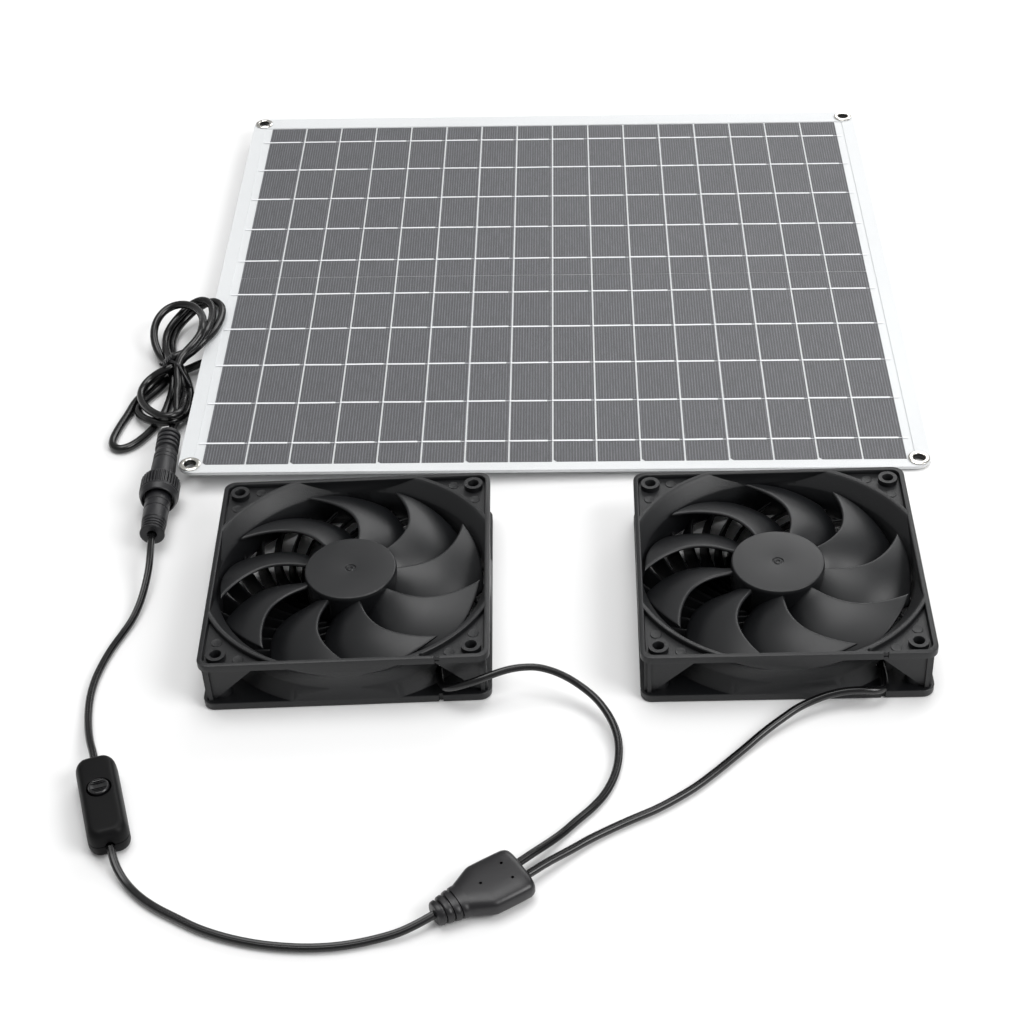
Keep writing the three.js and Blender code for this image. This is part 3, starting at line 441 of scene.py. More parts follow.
HANK = [(-172.3,2.3,5.3),(-176.9,2.2,5.3),(-181.1,1.1,4.1),(-185.4,-0.1,3.0),(-189.2,-2.5,3.4),(-192.1,-6.0,3.7),(-194.3,-10.0,3.5),(-196.3,-14.1,2.9),(-198.7,-18.0,2.4),(-201.1,-21.8,2.2),(-203.2,-25.9,2.3),(-204.5,-30.3,2.6),(-204.3,-34.8,2.9),(-202.2,-38.9,3.5),(-199.5,-42.4,4.4),(-196.3,-45.6,5.6),(-192.3,-47.4,5.6),(-187.7,-47.4,5.8),(-183.7,-45.5,5.4),(-181.5,-41.8,3.9),(-180.3,-37.5,2.9),(-179.8,-33.0,2.4),(-179.7,-28.5,2.8),(-179.9,-23.9,3.4),(-180.8,-19.4,3.8),(-181.9,-15.0,3.6),(-183.3,-10.6,3.3),(-185.1,-6.5,3.8),(-187.1,-2.8,5.6),(-189.3,1.1,5.3),(-191.0,5.2,4.2),(-192.5,9.5,3.4),(-193.9,13.8,2.7),(-195.0,18.2,2.4),(-195.9,22.7,2.4),(-196.1,27.3,2.8),(-195.6,31.8,3.4),(-194.3,36.1,4.2),(-192.2,40.0,5.1),(-189.4,43.5,6.4),(-186.1,46.1,8.1),(-182.1,47.2,10.1),(-178.2,46.6,12.3),(-174.5,44.6,13.6),(-171.5,41.1,13.5),(-170.2,36.8,13.5),(-169.9,32.2,13.5),(-170.2,27.6,13.5),(-171.0,23.1,13.5),(-172.0,18.7,13.5),(-173.7,14.4,13.5),(-175.9,10.4,13.5),(-178.8,7.2,12.1),(-182.1,4.5,10.5),(-184.9,1.0,10.2),(-186.5,-3.3,10.5),(-188.0,-7.5,11.4),(-191.4,-10.5,11.7),(-195.5,-11.8,10.4),(-199.4,-13.3,8.6),(-202.5,-16.3,7.2),(-204.0,-20.5,6.5),(-204.1,-25.1,6.4),(-203.0,-29.5,6.5),(-201.3,-33.7,6.8),(-199.0,-37.7,7.4),(-196.4,-41.4,8.2),(-193.5,-44.8,9.1),(-189.9,-47.6,9.6),(-185.5,-48.2,9.8),(-182.3,-45.2,9.1),(-181.3,-40.9,7.9),(-181.3,-36.5,6.8),(-181.5,-32.0,6.1),(-181.7,-27.4,5.6),(-182.9,-23.0,5.1),(-184.2,-18.6,5.0),(-185.5,-14.3,5.4),(-187.0,-10.1,6.7),(-188.9,-6.1,7.5),(-191.2,-2.2,8.2),(-193.2,1.9,7.7),(-194.8,6.2,7.1),(-196.2,10.5,6.5),(-197.5,14.8,5.9),(-198.4,19.3,5.7),(-198.8,23.9,5.8),(-198.5,28.4,6.4),(-197.3,32.7,7.2),(-195.3,36.7,8.2),(-192.8,40.5,9.3),(-190.0,43.8,10.7),(-186.4,45.9,12.4),(-182.3,45.5,14.2),(-178.6,43.0,15.1),(-175.9,39.4,14.7),(-174.8,35.0,14.6),(-174.3,30.4,15.0),(-174.0,25.9,15.6),(-174.1,21.4,16.5),(-174.3,16.9,17.1),(-174.9,12.3,17.4),(-176.5,8.1,17.1),(-179.2,4.7,15.6),(-182.1,1.3,14.6),(-184.9,-2.3,14.5),(-188.6,-4.8,14.6),(-191.7,-6.3,11.8),(-194.4,-8.5,8.8),(-197.4,-10.4,6.0),(-200.6,-12.9,3.9),(-203.3,-16.4,2.6),(-205.3,-20.4,2.1),(-207.1,-24.7,2.1),(-208.3,-29.1,2.1),(-209.2,-33.6,2.1),(-210.2,-38.0,2.1),(-211.4,-42.5,2.1),(-212.4,-47.0,2.1),(-213.2,-51.5,2.1),(-213.6,-56.0,2.1),(-212.7,-60.5,2.1),(-209.2,-63.1,2.1),(-205.0,-61.6,2.1),(-201.7,-58.4,2.1),(-199.1,-54.7,2.1),(-196.8,-50.7,2.1),(-194.9,-46.5,2.1),(-193.3,-42.2,2.1),(-192.1,-37.8,2.1),(-191.3,-33.3,2.1),(-190.8,-28.7,2.1),(-190.4,-24.2,2.2),(-190.1,-19.6,2.6),(-189.9,-15.2,3.7),(-190.2,-11.1,5.7),(-191.7,-7.2,7.4),(-193.4,-3.0,6.6),(-195.0,1.0,5.1),(-197.0,5.0,4.3),(-199.3,9.0,4.5),(-201.3,12.9,5.7),(-203.0,16.9,7.2),(-204.1,21.1,8.6),(-204.5,25.5,9.9),(-204.1,29.8,11.2),(-202.7,34.0,12.5),(-200.2,37.5,13.8),(-196.4,39.8,14.9),(-191.9,40.0,15.8),(-187.7,38.4,16.4),(-184.2,35.5,17.0),(-181.6,31.8,17.6),(-179.6,27.7,18.3),(-178.1,23.5,19.1),(-177.0,19.1,20.0),(-176.3,14.7,20.9),(-175.9,10.2,21.3),(-176.5,5.7,20.5),(-178.7,2.2,18.7),(-181.3,-1.4,17.5),(-183.6,-5.3,16.7),(-185.8,-8.8,14.9),(-186.6,-12.5,12.3),(-186.2,-16.5,10.1),(-185.6,-20.8,8.6),(-185.6,-25.1,7.3),(-185.5,-29.1,5.0),(-185.2,-33.2,3.0),(-185.4,-37.7,2.1),(-185.6,-42.3,2.1),(-185.6,-46.8,2.2),(-185.1,-51.0,4.0),(-184.5,-54.9,6.2),(-184.0,-59.0,8.3),(-183.8,-63.3,9.8)]


def round_cord(name, points, d, step=1.0):
    q = smooth_path(points, step)
    ob = sweep(name, q, ring(d / 2, 20), jacket)
    return ob, q


def twin(d, n=36):
    """A two-core lead: the jacket is drawn in along its top and bottom."""
    out = []
    for k in range(n):
        a = 2 * math.pi * k / n
        g = math.exp(-((abs(math.sin(a)) - 1.0) / 0.06) ** 2)
        r = d / 2 - 0.3 * g
        out.append((r * math.cos(a), r * math.sin(a) * 0.97))
    return out


def twin_cord(name, points, d, step=1.0):
    q = smooth_path(points, step)
    return sweep(name, q, twin(d), jacket), q


def declare(ob, q):
    length_of(q) * MM
    [tuple(p * MM) for p in q]


lead_panel, q_panel = round_cord("panel_lead", HANK, 4.0, 0.9)
lead_switch, q_switch = twin_cord("switch_lead_jacket", ROUTE["switch"], 3.3)
lead_split, q_split = twin_cord("splitter_lead_jacket", ROUTE["splitter"], 3.3)
lead_left, q_left = twin_cord("fan_lead_left_jacket", ROUTE["fan_left"], 3.3)
lead_right, q_right = twin_cord("fan_lead_right_jacket", ROUTE["fan_right"], 3.3)
for ob in (lead_panel, lead_switch, lead_split, lead_left, lead_right):
    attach(ob, "base")
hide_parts("panel_lead_start", "panel_lead_end", "panel_lead_hank")
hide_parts("switch_lead")
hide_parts("splitter_lead")
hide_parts("fan_lead_left")
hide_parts("fan_lead_right")


# the tie: thin plastic-covered wire round the hank's waist, its two ends twisted together
WAIST = [(-7.09, 14.06), (-5.63, 14.3), (-4.17, 14.55), (-2.71, 14.8), (-1.25, 15.04), (0.21, 15.29), (1.66, 15.09), (2.79, 14.16), (3.74, 13.03), (4.7, 11.9), (5.65, 10.77), (6.61, 9.64), (7.56, 8.5), (8.51, 7.37), (9.47, 6.24), (10.38, 5.08), (10.71, 3.66), (10.23, 2.28), (9.09, 1.37), (7.63, 1.18), (6.15, 1.17), (4.67, 1.16), (3.19, 1.15), (1.71, 1.14), (0.23, 1.13), (-1.25, 1.12), (-2.73, 1.11), (-4.21, 1.1), (-5.69, 1.09), (-7.17, 1.08), (-8.61, 1.33), (-9.71, 2.3), (-10.12, 3.7), (-10.04, 5.18), (-9.97, 6.66), (-9.89, 8.13), (-9.81, 9.61), (-9.74, 11.09), (-9.46, 12.53), (-8.49, 13.62)]
turn = [(-187.0 + a * 0.70711, -11.6 - a * 0.70711, b) for a, b in WAIST + WAIST[:1]]
axis0, axis1 = np.array([-189.2, -3.9, 15.5]), np.array([-194.2, -12.3, 14.7])
ax = (axis1 - axis0) / np.linalg.norm(axis1 - axis0)
side = np.cross(ax, [0, 0, 1.0])
side /= np.linalg.norm(side)
rise = np.cross(side, ax)
tie_parts = [sweep("tie_loop", smooth_path(turn, 0.6), ring(0.7, 14), tie_mat)]
for half in (0.0, math.pi):
    pts = []
    for k in range(29):
        t = k / 28
        phi = half + t * 2 * math.pi * 3.1
        w = 0.62 + 0.5 * max(0.0, t - 0.86) / 0.14 + 0.4 * max(0.0, 0.1 - t) / 0.1
        pts.append(tuple(axis0 + (axis1 - axis0) * t + (side * math.cos(phi) + rise * math.sin(phi)) * w))
    tie_parts.append(sweep("tie_end", smooth_path(pts, 0.4), ring(0.58, 12), tie_mat))
tie_bm = bmesh.new()
for o in tie_parts:
    tie_bm.from_mesh(o.data)
tie_me = bpy.data.meshes.new("twist_tie_wire")
tie_bm.to_mesh(tie_me)
tie_bm.free()
for o in tie_parts:
    bpy.data.objects.remove(o, do_unlink=True)
tie = link_obj(bpy.data.objects.new("twist_tie_wire", tie_me))
tie_me.materials.append(tie_mat)
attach(tie, "base")
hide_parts("twist_tie")


# -------------------------------------------------------------- mesh solids
def boolean(a, b, op):
    """a (op) b, with b used up. Both are closed meshes in world metres."""
    md = a.modifiers.new("b", "BOOLEAN")
    md.operation = op
    md.solver = "MANIFOLD"
    md.object = b
    dg = bpy.context.evaluated_depsgraph_get()
    me = bpy.data.meshes.new_from_object(a.evaluated_get(dg))
    a.modifiers.remove(md)
    old = a.data
    a.data = me
    bpy.data.meshes.remove(old)
    bpy.data.objects.remove(b, do_unlink=True)
    return a


def rrect(hx, hy, r, n=8):
    """A rounded rectangle, anticlockwise."""
    pts = []
    for cx, cy, a0 in ((hx - r, -hy + r, -90), (hx - r, hy - r, 0), (-hx + r, hy - r, 90), (-hx + r, -hy + r, 180)):
        for k in range(n + 1):
            a = rad(a0 + 90 * k / n)
            pts.append((cx + r * math.cos(a), cy + r * math.sin(a)))
    return pts


def loft(name, rings, mat=None, M=None, deg=35, smooth=True):
    """Skins closed rings of points (each with as many), capped at both ends."""
    n = len(rings[0])
    verts = [p for r in rings for p in r]
    faces = []
    for i in range(len(rings) - 1):
        for k in range(n):
            j = (k + 1) % n
            faces.append((i * n + k, i * n + j, (i + 1) * n + j, (i + 1) * n + k))
    faces.append(tuple(range(n))[::-1])
    faces.append(tuple((len(rings) - 1) * n + k for k in range(n)))
    ob = make(name, verts, faces, mat, M)
    fix_normals(ob)
    return autosmooth(ob, deg) if smooth else ob


def rr_stack(name, hx, hy, r, levels, mat=None, M=None, n=8, c=(0, 0), deg=35):
    """A stack of rounded rectangles: levels are (z, inset)."""
    rings = []
    for z, d in levels:
        rings.append([(x + c[0], y + c[1], z) for x, y in rrect(hx - d, hy - d, max(r - d, 0.05), n)])
    return loft(name, rings, mat, M, deg)


def prism(name, outline, z0, z1, mat=None, M=None, bevel=0.0, deg=35):
    rings = []
    O = np.array(outline, float)
    if bevel > 0:
        nxt, prv = np.roll(O, -1, 0), np.roll(O, 1, 0)
        e1, e2 = O - prv, nxt - O
        e1 /= np.linalg.norm(e1, axis=1)[:, None] + 1e-12
        e2 /= np.linalg.norm(e2, axis=1)[:, None] + 1e-12
        n1, n2 = np.stack([-e1[:, 1], e1[:, 0]], 1), np.stack([-e2[:, 1], e2[:, 0]], 1)
        inn = n1 + n2
        inn /= (1 + (n1 * n2).sum(1))[:, None]
        I = O + inn * bevel
        rings = [[(x, y, z0) for x, y in I], [(x, y, z0 + bevel) for x, y in O], [(x, y, z1 - bevel) for x, y in O], [(x, y, z1) for x, y in I]]
    else:
        rings = [[(x, y, z0) for x, y in O], [(x, y, z1) for x, y in O]]
    return loft(name, rings, mat, M, deg)


def cyl(name, r, z0, z1, c=(0, 0), seg=48, mat=None, M=None, ch=0.0):
    prof = [(0, z0), (r - ch, z0), (r, z0 + ch), (r, z1 - ch), (r - ch, z1), (0, z1)] if ch else [(0, z0), (r, z0), (r, z1), (0, z1)]
    v, f = lathe_data(prof, seg)
    v = [(x + c[0], y + c[1], z) for x, y, z in v]
    ob = make(name, v, f, mat, M)
    return fix_normals(ob)


def lathe_ob(name, prof, seg=128, mat=None, M=None, closed=False, a0=0.0):
    v, f = lathe_data(prof, seg, closed, a0)
    return fix_normals(make(name, v, f, mat, M))


def joined(name, obs, mat=None):
    """Puts several meshes in one object."""
    bm = bmesh.new()
    for o in obs:
        bm.from_mesh(o.data)
    me = bpy.data.meshes.new(name)
    bm.to_mesh(me)
    bm.free()
    for o in obs:
        bpy.data.objects.remove(o, do_unlink=True)
    ob = link_obj(bpy.data.objects.new(name, me))
    if mat:
        me.materials.append(mat)
    return ob


def grid_solid(f, nu, nv):
    """A closed thin solid from f(u, v) -> (centre, unit normal, half thickness). u runs along, v across; v edges are rounded by the caller's thickness."""
    top, bot = [], []
    for i in range(nu + 1):
        for j in range(nv + 1):
            c, n, h = f(i / nu, j / nv)
            top.append(c + n * h)
            bot.append(c - n * h)
    verts = top + bot
    K = (nu + 1) * (nv + 1)
    faces = []
    g = lambda i, j: i * (nv + 1) + j
    for i in range(nu):
        for j in range(nv):
            faces.append((g(i, j), g(i + 1, j), g(i + 1, j + 1), g(i, j + 1)))
            faces.append((K + g(i, j), K + g(i, j + 1), K + g(i + 1, j + 1), K + g(i + 1, j)))
    for i in range(nu):
        faces.append((g(i, 0), K + g(i, 0), K + g(i + 1, 0), g(i + 1, 0)))
        faces.append((g(i, nv), g(i + 1, nv), K + g(i + 1, nv), K + g(i, nv)))
    for j in range(nv):
        faces.append((g(0, j), g(0, j + 1), K + g(0, j + 1), K + g(0, j)))
        faces.append((g(nu, j), K + g(nu, j), K + g(nu, j + 1), g(nu, j + 1)))
    return verts, faces


# --------------------------------------------------------------------- fans
fan_plastic = moulded("fan_plastic", (16, 17, 19), 0.42, grain=1500.0, depth=0.0001, strength=1.0, vary=0.22, spec=0.46)
blade_plastic = moulded("impeller_plastic", (17, 18, 20), 0.40, grain=1000.0, depth=0.00003, strength=0.25, vary=0.08, spec=0.46)
HUB_R, HUB_TOP, HUB_LOW = 19.9, 23.2, 8.5


def lean(r):
    return rad(float(np.interp(r, [19, 20, 24, 28, 33, 38, 42, 46, 49, 52, 54, 56, 60], [1.2, 1.5, 1.8, 2.6, 4.9, 8.2, 12.0, 16.5, 20.0, 23.6, 26.1, 28.5, 33.5])))


LEAN_X = np.linspace(18, 60, 85)
LEAN_Y = np.array([lean(r) for r in LEAN_X])
for _ in range(14):
    LEAN_Y[1:-1] = 0.25 * LEAN_Y[:-2] + 0.5 * LEAN_Y[1:-1] + 0.25 * LEAN_Y[2:]


def blade_mid(base, u, v):
    r = 19.3 + (56.4 - 19.3) * u
    chord = rad(38.0 - 2.0 * u)
    a = base + float(np.interp(r, LEAN_X, LEAN_Y)) - chord * v
    le = 20.35 + 0.5 * math.sin(math.pi * u) - 0.5 * u
    z = le - (le - 9.2) * (0.40 * v + 0.60 * v * v)
    return np.array([r * math.cos(a), r * math.sin(a), z])


def blade_at(base):
    e = 1e-3

    def f(u, v):
        # the tip's leading corner is rounded off
        ru = u
        c = blade_mid(base, ru, v)
        du = blade_mid(base, ru + e, v) - blade_mid(base, ru - e, v)
        dv = blade_mid(base, ru, v + e) - blade_mid(base, ru, v - e)
        n = np.cross(du, dv)
        n /= np.linalg.norm(n)
        if n[2] < 0:
            n = -n
        w = 0.045
        edge = min(v / w, (1 - v) / (w * 1.2), 1.0)
        h = 0.8 * math.sqrt(max(0.0, 1 - (1 - edge) ** 2)) + 0.02
        tip = min((1 - u) / 0.02, 1.0)
        h *= 0.35 + 0.65 * math.sqrt(max(0.0, 1 - (1 - tip) ** 2))
        h *= 1.0 + 0.35 * math.exp(-((u * 37.1) / 2.2) ** 2)
        return c, n, h

    vs = [0, 0.008, 0.02, 0.035, 0.055] + list(np.linspace(0.09, 0.9, 15)) + [0.94, 0.965, 0.985, 1.0]
    us = list(np.linspace(0, 0.965, 26)) + [0.98, 0.99, 0.996, 1.0]
    nu, nv = len(us) - 1, len(vs) - 1
    return grid_solid(lambda a, b: f(us[int(round(a * nu))], vs[int(round(b * nv))]), nu, nv)


def impeller(side):
    M, base = FAN_M[side], FAN[side][3]
    T = HUB_TOP
    prof = rounded([
        (0, T - 0.55, 0), (0.75, T - 0.55, 0.15), (1.0, T - 0.1, 0.12), (1.45, T - 0.1, 0.12), (1.7, T - 0.45, 0.1), (2.2, T - 0.45, 0.1), (2.45, T, 0.15),
        (HUB_R - 0.35, T, 0.75), (HUB_R, T - 1.5, 0.4), (HUB_R, HUB_LOW, 0.25), (18.9, HUB_LOW, 0.2), (18.9, 22.0, 0.3), (3.4, 22.0, 0.2), (3.4, 18.6, 0.1), (1.8, 18.6, 0.1), (1.8, 22.2, 0), (0, 22.2, 0),
    ], 0.2, 4)
    v, f = lathe_data(prof, 160)
    hub = autosmooth(fix_normals(make("hub", v, f, None, M)), 40)
    parts = [hub]
    for k in range(9):
        b = base + k * 2 * math.pi / 9
        v, f = blade_at(b)
        parts.append(autosmooth(fix_normals(make("blade", v, f, None, M)), 50))
        # a thin riser on the hub under each blade's leading edge
        a = b + rad(1.4)
        ring_ = []
        for z, w, h in ((8.6, 0.28, 0.3), (12, 0.34, 0.42), (16, 0.36, 0.5), (19.6, 0.34, 0.5), (20.3, 0.2, 0.2)):
            sec = []
            for t in range(10):
                p = 2 * math.pi * t / 10
                rr, da = HUB_R - 0.15 + h * 0.9 * math.cos(p) * 0.9, w * math.sin(p) / HUB_R
                sec.append((rr * math.cos(a + da), rr * math.sin(a + da), z))
            ring_.append(sec)
        parts.append(loft("riser", ring_, None, M, 60))
    ob = joined("impeller_" + side + "_moulding", parts, blade_plastic)
    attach(ob, "rotor_" + side)
    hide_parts("impeller_" + side)
    return ob


def corner_signs():
    return [(1, 1), (-1, 1), (-1, -1), (1, -1)]


def frame_local():
    """One fan frame in its own millimetres, scaled to metres at the origin."""
    top = rr_stack("top", 60, 60, 5, [(21.5, 0.25), (21.75, 0.0), (24.55, 0.0), (24.85, 0.1), (25.0, 0.35)])
    bot = rr_stack("bot", 60, 60, 5, [(0.0, 0.35), (0.15, 0.1), (0.45, 0.0), (3.35, 0.0), (3.6, 0.25)])
    f = boolean(top, bot, "UNION")
    duct = lathe_ob("duct", [(0, 0.2), (61.6, 0.2), (64.2, 3.7), (63.9, 4.2), (60.25, 9.6), (59.9, 10.3), (59.9, 16.4), (60.2, 17.0), (64.2, 22.2), (0, 22.2)], 160)
    keep = rr_stack("keep", 59.95, 59.95, 5, [(-1, 0), (26, 0)])
    duct = boolean(duct, keep, "INTERSECT")
    f = boolean(f, duct, "UNION")
    for a, b in corner_signs():
        post = cyl("post", 4.2, 0.1, 24.9, (a * 52.5, b * 52.5), 48)
        f = boolean(f, post, "UNION")
        # a web on each wall, from the corner to the duct, with a sloping lower edge
        for k in (0, 1):
            o = [(58.4, 2.0), (54.2, 4.2), (53.2, 5.2), (36.6, 20.6), (35.0, 22.4), (58.4, 22.4)]
            y0, y1 = 57.2, 55.6
            ring0, ring1 = [], []
            for x, z in o:
                p0, p1 = (x, y0), (x, y1)
                if k:
                    p0, p1 = p0[::-1], p1[::-1]
                ring0.append((a * p0[0], b * p0[1], z))
                ring1.append((a * p1[0], b * p1[1], z))
            f = boolean(f, loft("web", [ring0, ring1]), "UNION")
    # air passage
    prof = [(0, -1), (62.9, -1), (62.9, 0.0), (62.5, 0.25)]
    for t in np.linspace(0.1, 1, 8):
        prof.append((57.9 + 4.6 * (1 - t) ** 1.6, 5.5 * t))
    prof.append((57.9, 17.7))
    for t in np.linspace(0.1, 1, 8):
        prof.append((57.9 + 5.5 * t ** 1.12, 17.7 + 7.1 * t))
    prof += [(63.9, 25.0), (63.9, 26.5), (0, 26.5)]
    bore = lathe_ob("bore", prof, 192)
    ins = rr_stack("inside", 57.75, 57.75, 1.0, [(-2, -0.5), (0, -0.35), (0.4, 0), (24.65, 0), (25.0, -0.35), (27, -0.5)])
    bore = boolean(bore, ins, "INTERSECT")
    f = boolean(f, bore, "DIFFERENCE")

    def pockets(z0, z1, zt, inward):
        """Cutters for the four corner pockets between z0 and z1; the mouth at zt is flared."""
        lv = [(z0, 0.12), (z0 + 0.15, 0.0), (z1 - 0.4, 0.0), (z1, -0.3), (z1 + 2, -0.3)] if zt > 0 else [(z0 - 2, -0.3), (z0, -0.3), (z0 + 0.4, 0.0), (z1 - 0.15, 0.0), (z1, 0.12)]
        c = rr_stack("pocket", 57.7, 57.7, 3.4, lv)
        if zt > 0:
            prof = [(0, z0 - 1), (65.35, z0 - 1), (65.35, z1 - 0.35), (65.05, z1), (65.05, z1 + 3), (0, z1 + 3)]
        else:
            prof = [(0, z0 - 3), (65.05, z0 - 3), (65.05, z0), (65.35, z0 + 0.35), (65.35, z1 + 1), (0, z1 + 1)]
        c = boolean(c, lathe_ob("keepout", prof, 192), "DIFFERENCE")
        for a, b in corner_signs():
            c = boolean(c, cyl("boss", 4.15, z0 - 3, z1 + 3, (a * 52.5, b * 52.5), 48), "DIFFERENCE")
        return c

    f = boolean(f, pockets(22.6, 25.0, 1, 0), "DIFFERENCE")
    f = boolean(f, pockets(0.0, 2.4, -1, 0), "DIFFERENCE")
    for a, b in corner_signs():
        h = lathe_ob("hole", [(0, -1), (2.5, -1), (2.5, 0), (2.2, 0.35), (2.2, 24.6), (2.5, 25), (2.5, 26), (0, 26)], 40)
        h.data.transform(Matrix.Translation((a * 52.5 * MM, b * 52.5 * MM, 0)))
        f = boolean(f, h, "DIFFERENCE")
        for x, y in ((53.2, 43.6), (43.4, 54.1)):
            f = boolean(f, lathe_at("pin", [(0, 22.0), (2.3, 22.0), (2.3, 22.78), (2.15, 22.9), (1.9, 22.84), (0, 22.84)], a * x, b * y), "UNION")
    # cable notch: a slot through the front wall with a cross slot behind it
    f = boolean(f, rr_stack("slot", 1.05, 2.4, 0.3, [(21.0, 0), (24.7, 0), (25.3, -0.3), (26, -0.3)], n=3, c=(38.6, -59.6)), "DIFFERENCE")
    f = boolean(f, rr_stack("cross", 5.6, 0.75, 0.3, [(20.5, 0), (24.7, 0), (25.3, -0.2), (26, -0.2)], n=3, c=(37.0, -57.6)), "DIFFERENCE")
    f = boolean(f, rr_stack("nick", 0.9, 1.6, 0.3, [(-1, 0), (5, 0)], n=3, c=(38.9, -60.4)), "DIFFERENCE")
    out = cyl("outlet", 2.6, -49.5, -40.0, (38.6, 0), 24)
    out.data.transform(Matrix.Rotation(0, 4, "X"))
    bm = bmesh.new(); bm.from_mesh(out.data)
    for v_ in bm.verts:
        x, y, z = v_.co
        v_.co = (x, z, 0.0062 + y)
    bmesh.ops.recalc_face_normals(bm, faces=bm.faces)
    bm.to_mesh(out.data); bm.free()
    f = boolean(f, out, "DIFFERENCE")
    # motor cup and bearing tube
    cup = lathe_ob("cup", [(0, 0.7), (20.2, 0.7), (20.5, 1.0), (20.5, 7.1), (20.2, 7.4), (19.4, 7.4), (19.2, 7.2), (19.2, 2.4), (5.6, 2.4), (5.6, 18.6), (5.4, 18.8), (4.5, 18.8), (4.35, 18.6), (4.35, 2.4), (0, 2.4)], 96)
    parts = [cup]
    e = 1e-3

    def vane_mid(b0, u, v):
        r = 19.9 + (58.6 - 19.9) * u
        a = b0 + 0.105 - math.log(r / 20.0) - 0.105 * v
        return np.array([r * math.cos(a), r * math.sin(a), 0.9 + 6.9 * v])

    for k in range(29):
        b0 = k * 2 * math.pi / 29

        def g(u, v):
            c = vane_mid(b0, u, v)
            n = np.cross(vane_mid(b0, u + e, v) - vane_mid(b0, u - e, v), vane_mid(b0, u, v + e) - vane_mid(b0, u, v - e))
            n /= np.linalg.norm(n)
            edge = min(v / 0.08, (1 - v) / 0.08, 1.0)
            return c, n, 0.6 * math.sqrt(max(0.0, 1 - (1 - edge) ** 2)) + 0.03

        vs = [0, 0.02, 0.05, 0.1, 0.3, 0.5, 0.7, 0.9, 0.95, 0.98, 1.0]
        v_, f_ = grid_solid(lambda p, q: g(p, vs[int(round(q * 10))]), 14, 10)
        parts.append(fix_normals(make("vane", v_, f_)))
    for o in parts + [f]:
        autosmooth(o, 38)
    return joined("frame_master", [f] + parts)


def lathe_at(name, prof, x, y, seg=32):
    v, f = lathe_data(prof, seg)
    return fix_normals(make(name, [(p[0] + x, p[1] + y, p[2]) for p in v], f))


master = frame_local()
for side in ("left", "right"):
    me = master.data.copy()
    R, t = FAN_M[side]
    mt = Matrix([list(R[i]) + [t[i] * MM] for i in range(3)] + [[0, 0, 0, 1]])
    me.transform(mt)
    me.materials.clear()
    me.materials.append(fan_plastic)
    ob = link_obj(bpy.data.objects.new("fan_frame_" + side + "_moulding", me))
    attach(ob, "base")
    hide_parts("fan_frame_" + side)
    impeller(side)
bpy.data.objects.remove(master, do_unlink=True)


# -------------------------------------------------------------------- panel
def white_sheet():
    t = Tree("white_board")
    cloud = t.noise(9.0, 3.0, 0.5)
    fine = t.noise(1400.0, 3.0, 0.6)
    col = t.mix(t.maprange(cloud, 0.3, 0.7, 0.0, 1.0), srgb((206, 208, 209)), srgb((214, 216, 217)))
    t.set(Base_Color=t.mix(t.maprange(fine, 0.35, 0.65, 0.0, 0.3), col, srgb((222, 223, 224))), Roughness=t.maprange(cloud, 0.3, 0.7, 0.42, 0.5), Normal=t.bump(fine, 0.12, 0.00002))
    return t.mat


def cell_surface():
    """Dark silicon under a textured film: fine silver fingers along Y, a slow tint from cell to cell."""
    t = Tree("solar_cell")
    sep = t.node("SeparateXYZ")
    t.link(t.co, sep.inputs[0])
    x = sep.outputs[0]
    ph = t.math("FRACT", t.math("MULTIPLY", t.math("ADD", x, 1.0), 1.0 / 0.00136))
    away = t.math("ABSOLUTE", t.math("SUBTRACT", ph, 0.5))
    finger = t.maprange(away, 0.08, 0.24, 1.0, 0.0)
    along = t.noise(1.0, 4.0, 0.7, t.scaled(700.0, 90.0, 1.0))
    finger = t.math("MULTIPLY", finger, t.maprange(along, 0.3, 0.65, 0.25, 1.0))
    tint = t.noise(11.0, 2.0, 0.5)
    base = t.mix(t.maprange(tint, 0.35, 0.65, 0.0, 1.0), srgb((31, 30, 35)), srgb((36, 36, 40)))
    grain = t.noise(1800.0, 3.0, 0.7)
    base = t.mix(t.maprange(grain, 0.3, 0.7, 0.0, 0.3), base, srgb((48, 47, 52)))
    t.set(Base_Color=t.mix(t.math("MULTIPLY", finger, 0.85), base, srgb((104, 104, 110))), Roughness=t.maprange(grain, 0.3, 0.7, 0.42, 0.56), Normal=t.bump(grain, 0.15, 0.00002))
    t.bsdf.inputs["Specular IOR Level"].default_value = 0.2
    return t.mat


board_mat, cell_mat = white_sheet(), cell_surface()
ribbon_mat = moulded("tinned_ribbon", (228, 229, 231), 0.38, grain=1600.0, strength=0.2, vary=0.04)
print_mat = moulded("busbar_print", (188, 189, 192), 0.5, grain=1600.0, strength=0.2, vary=0.08)
nickel = metal("nickel_eyelet", (226, 224, 218), 0.2)
# near-black lining for the eyelet barrels: painted shade for the dark holes
barrel_painted_shade = moulded("eyelet_barrel_oxide", (20, 19, 18), 0.35, grain=900.0, strength=0.2, vary=0.3)

holes = [(a * 170.3, b * 162.0) for a, b in ((-1, 1), (1, 1), (-1, -1), (1, -1))]


def sheet(name, z0, z1, bev, mat, hole_r, w=176.0, d=168.0, r=8.0):
    o = rr_stack(name, w, d, r, [(z0, bev), (z0 + bev, 0), (z1 - bev, 0), (z1, bev)], n=14)
    for x, y in holes:
        o = boolean(o, lathe_at("h", [(0, z0 - 1), (hole_r, z0 - 1), (hole_r, z1 + 1), (0, z1 + 1)], x, y, 40), "DIFFERENCE")
    me = o.data
    co = np.empty(len(me.vertices) * 3, np.float32)
    me.vertices.foreach_get("co", co)
    co = co.reshape(-1, 3) @ PANEL_R.T.astype(np.float32) + (PANEL_M[1] * MM).astype(np.float32)
    me.vertices.foreach_set("co", co.ravel())
    me.materials.clear()
    me.materials.append(mat)
    me.update()
    autosmooth(o, 30)
    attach(o, "base")
    return o


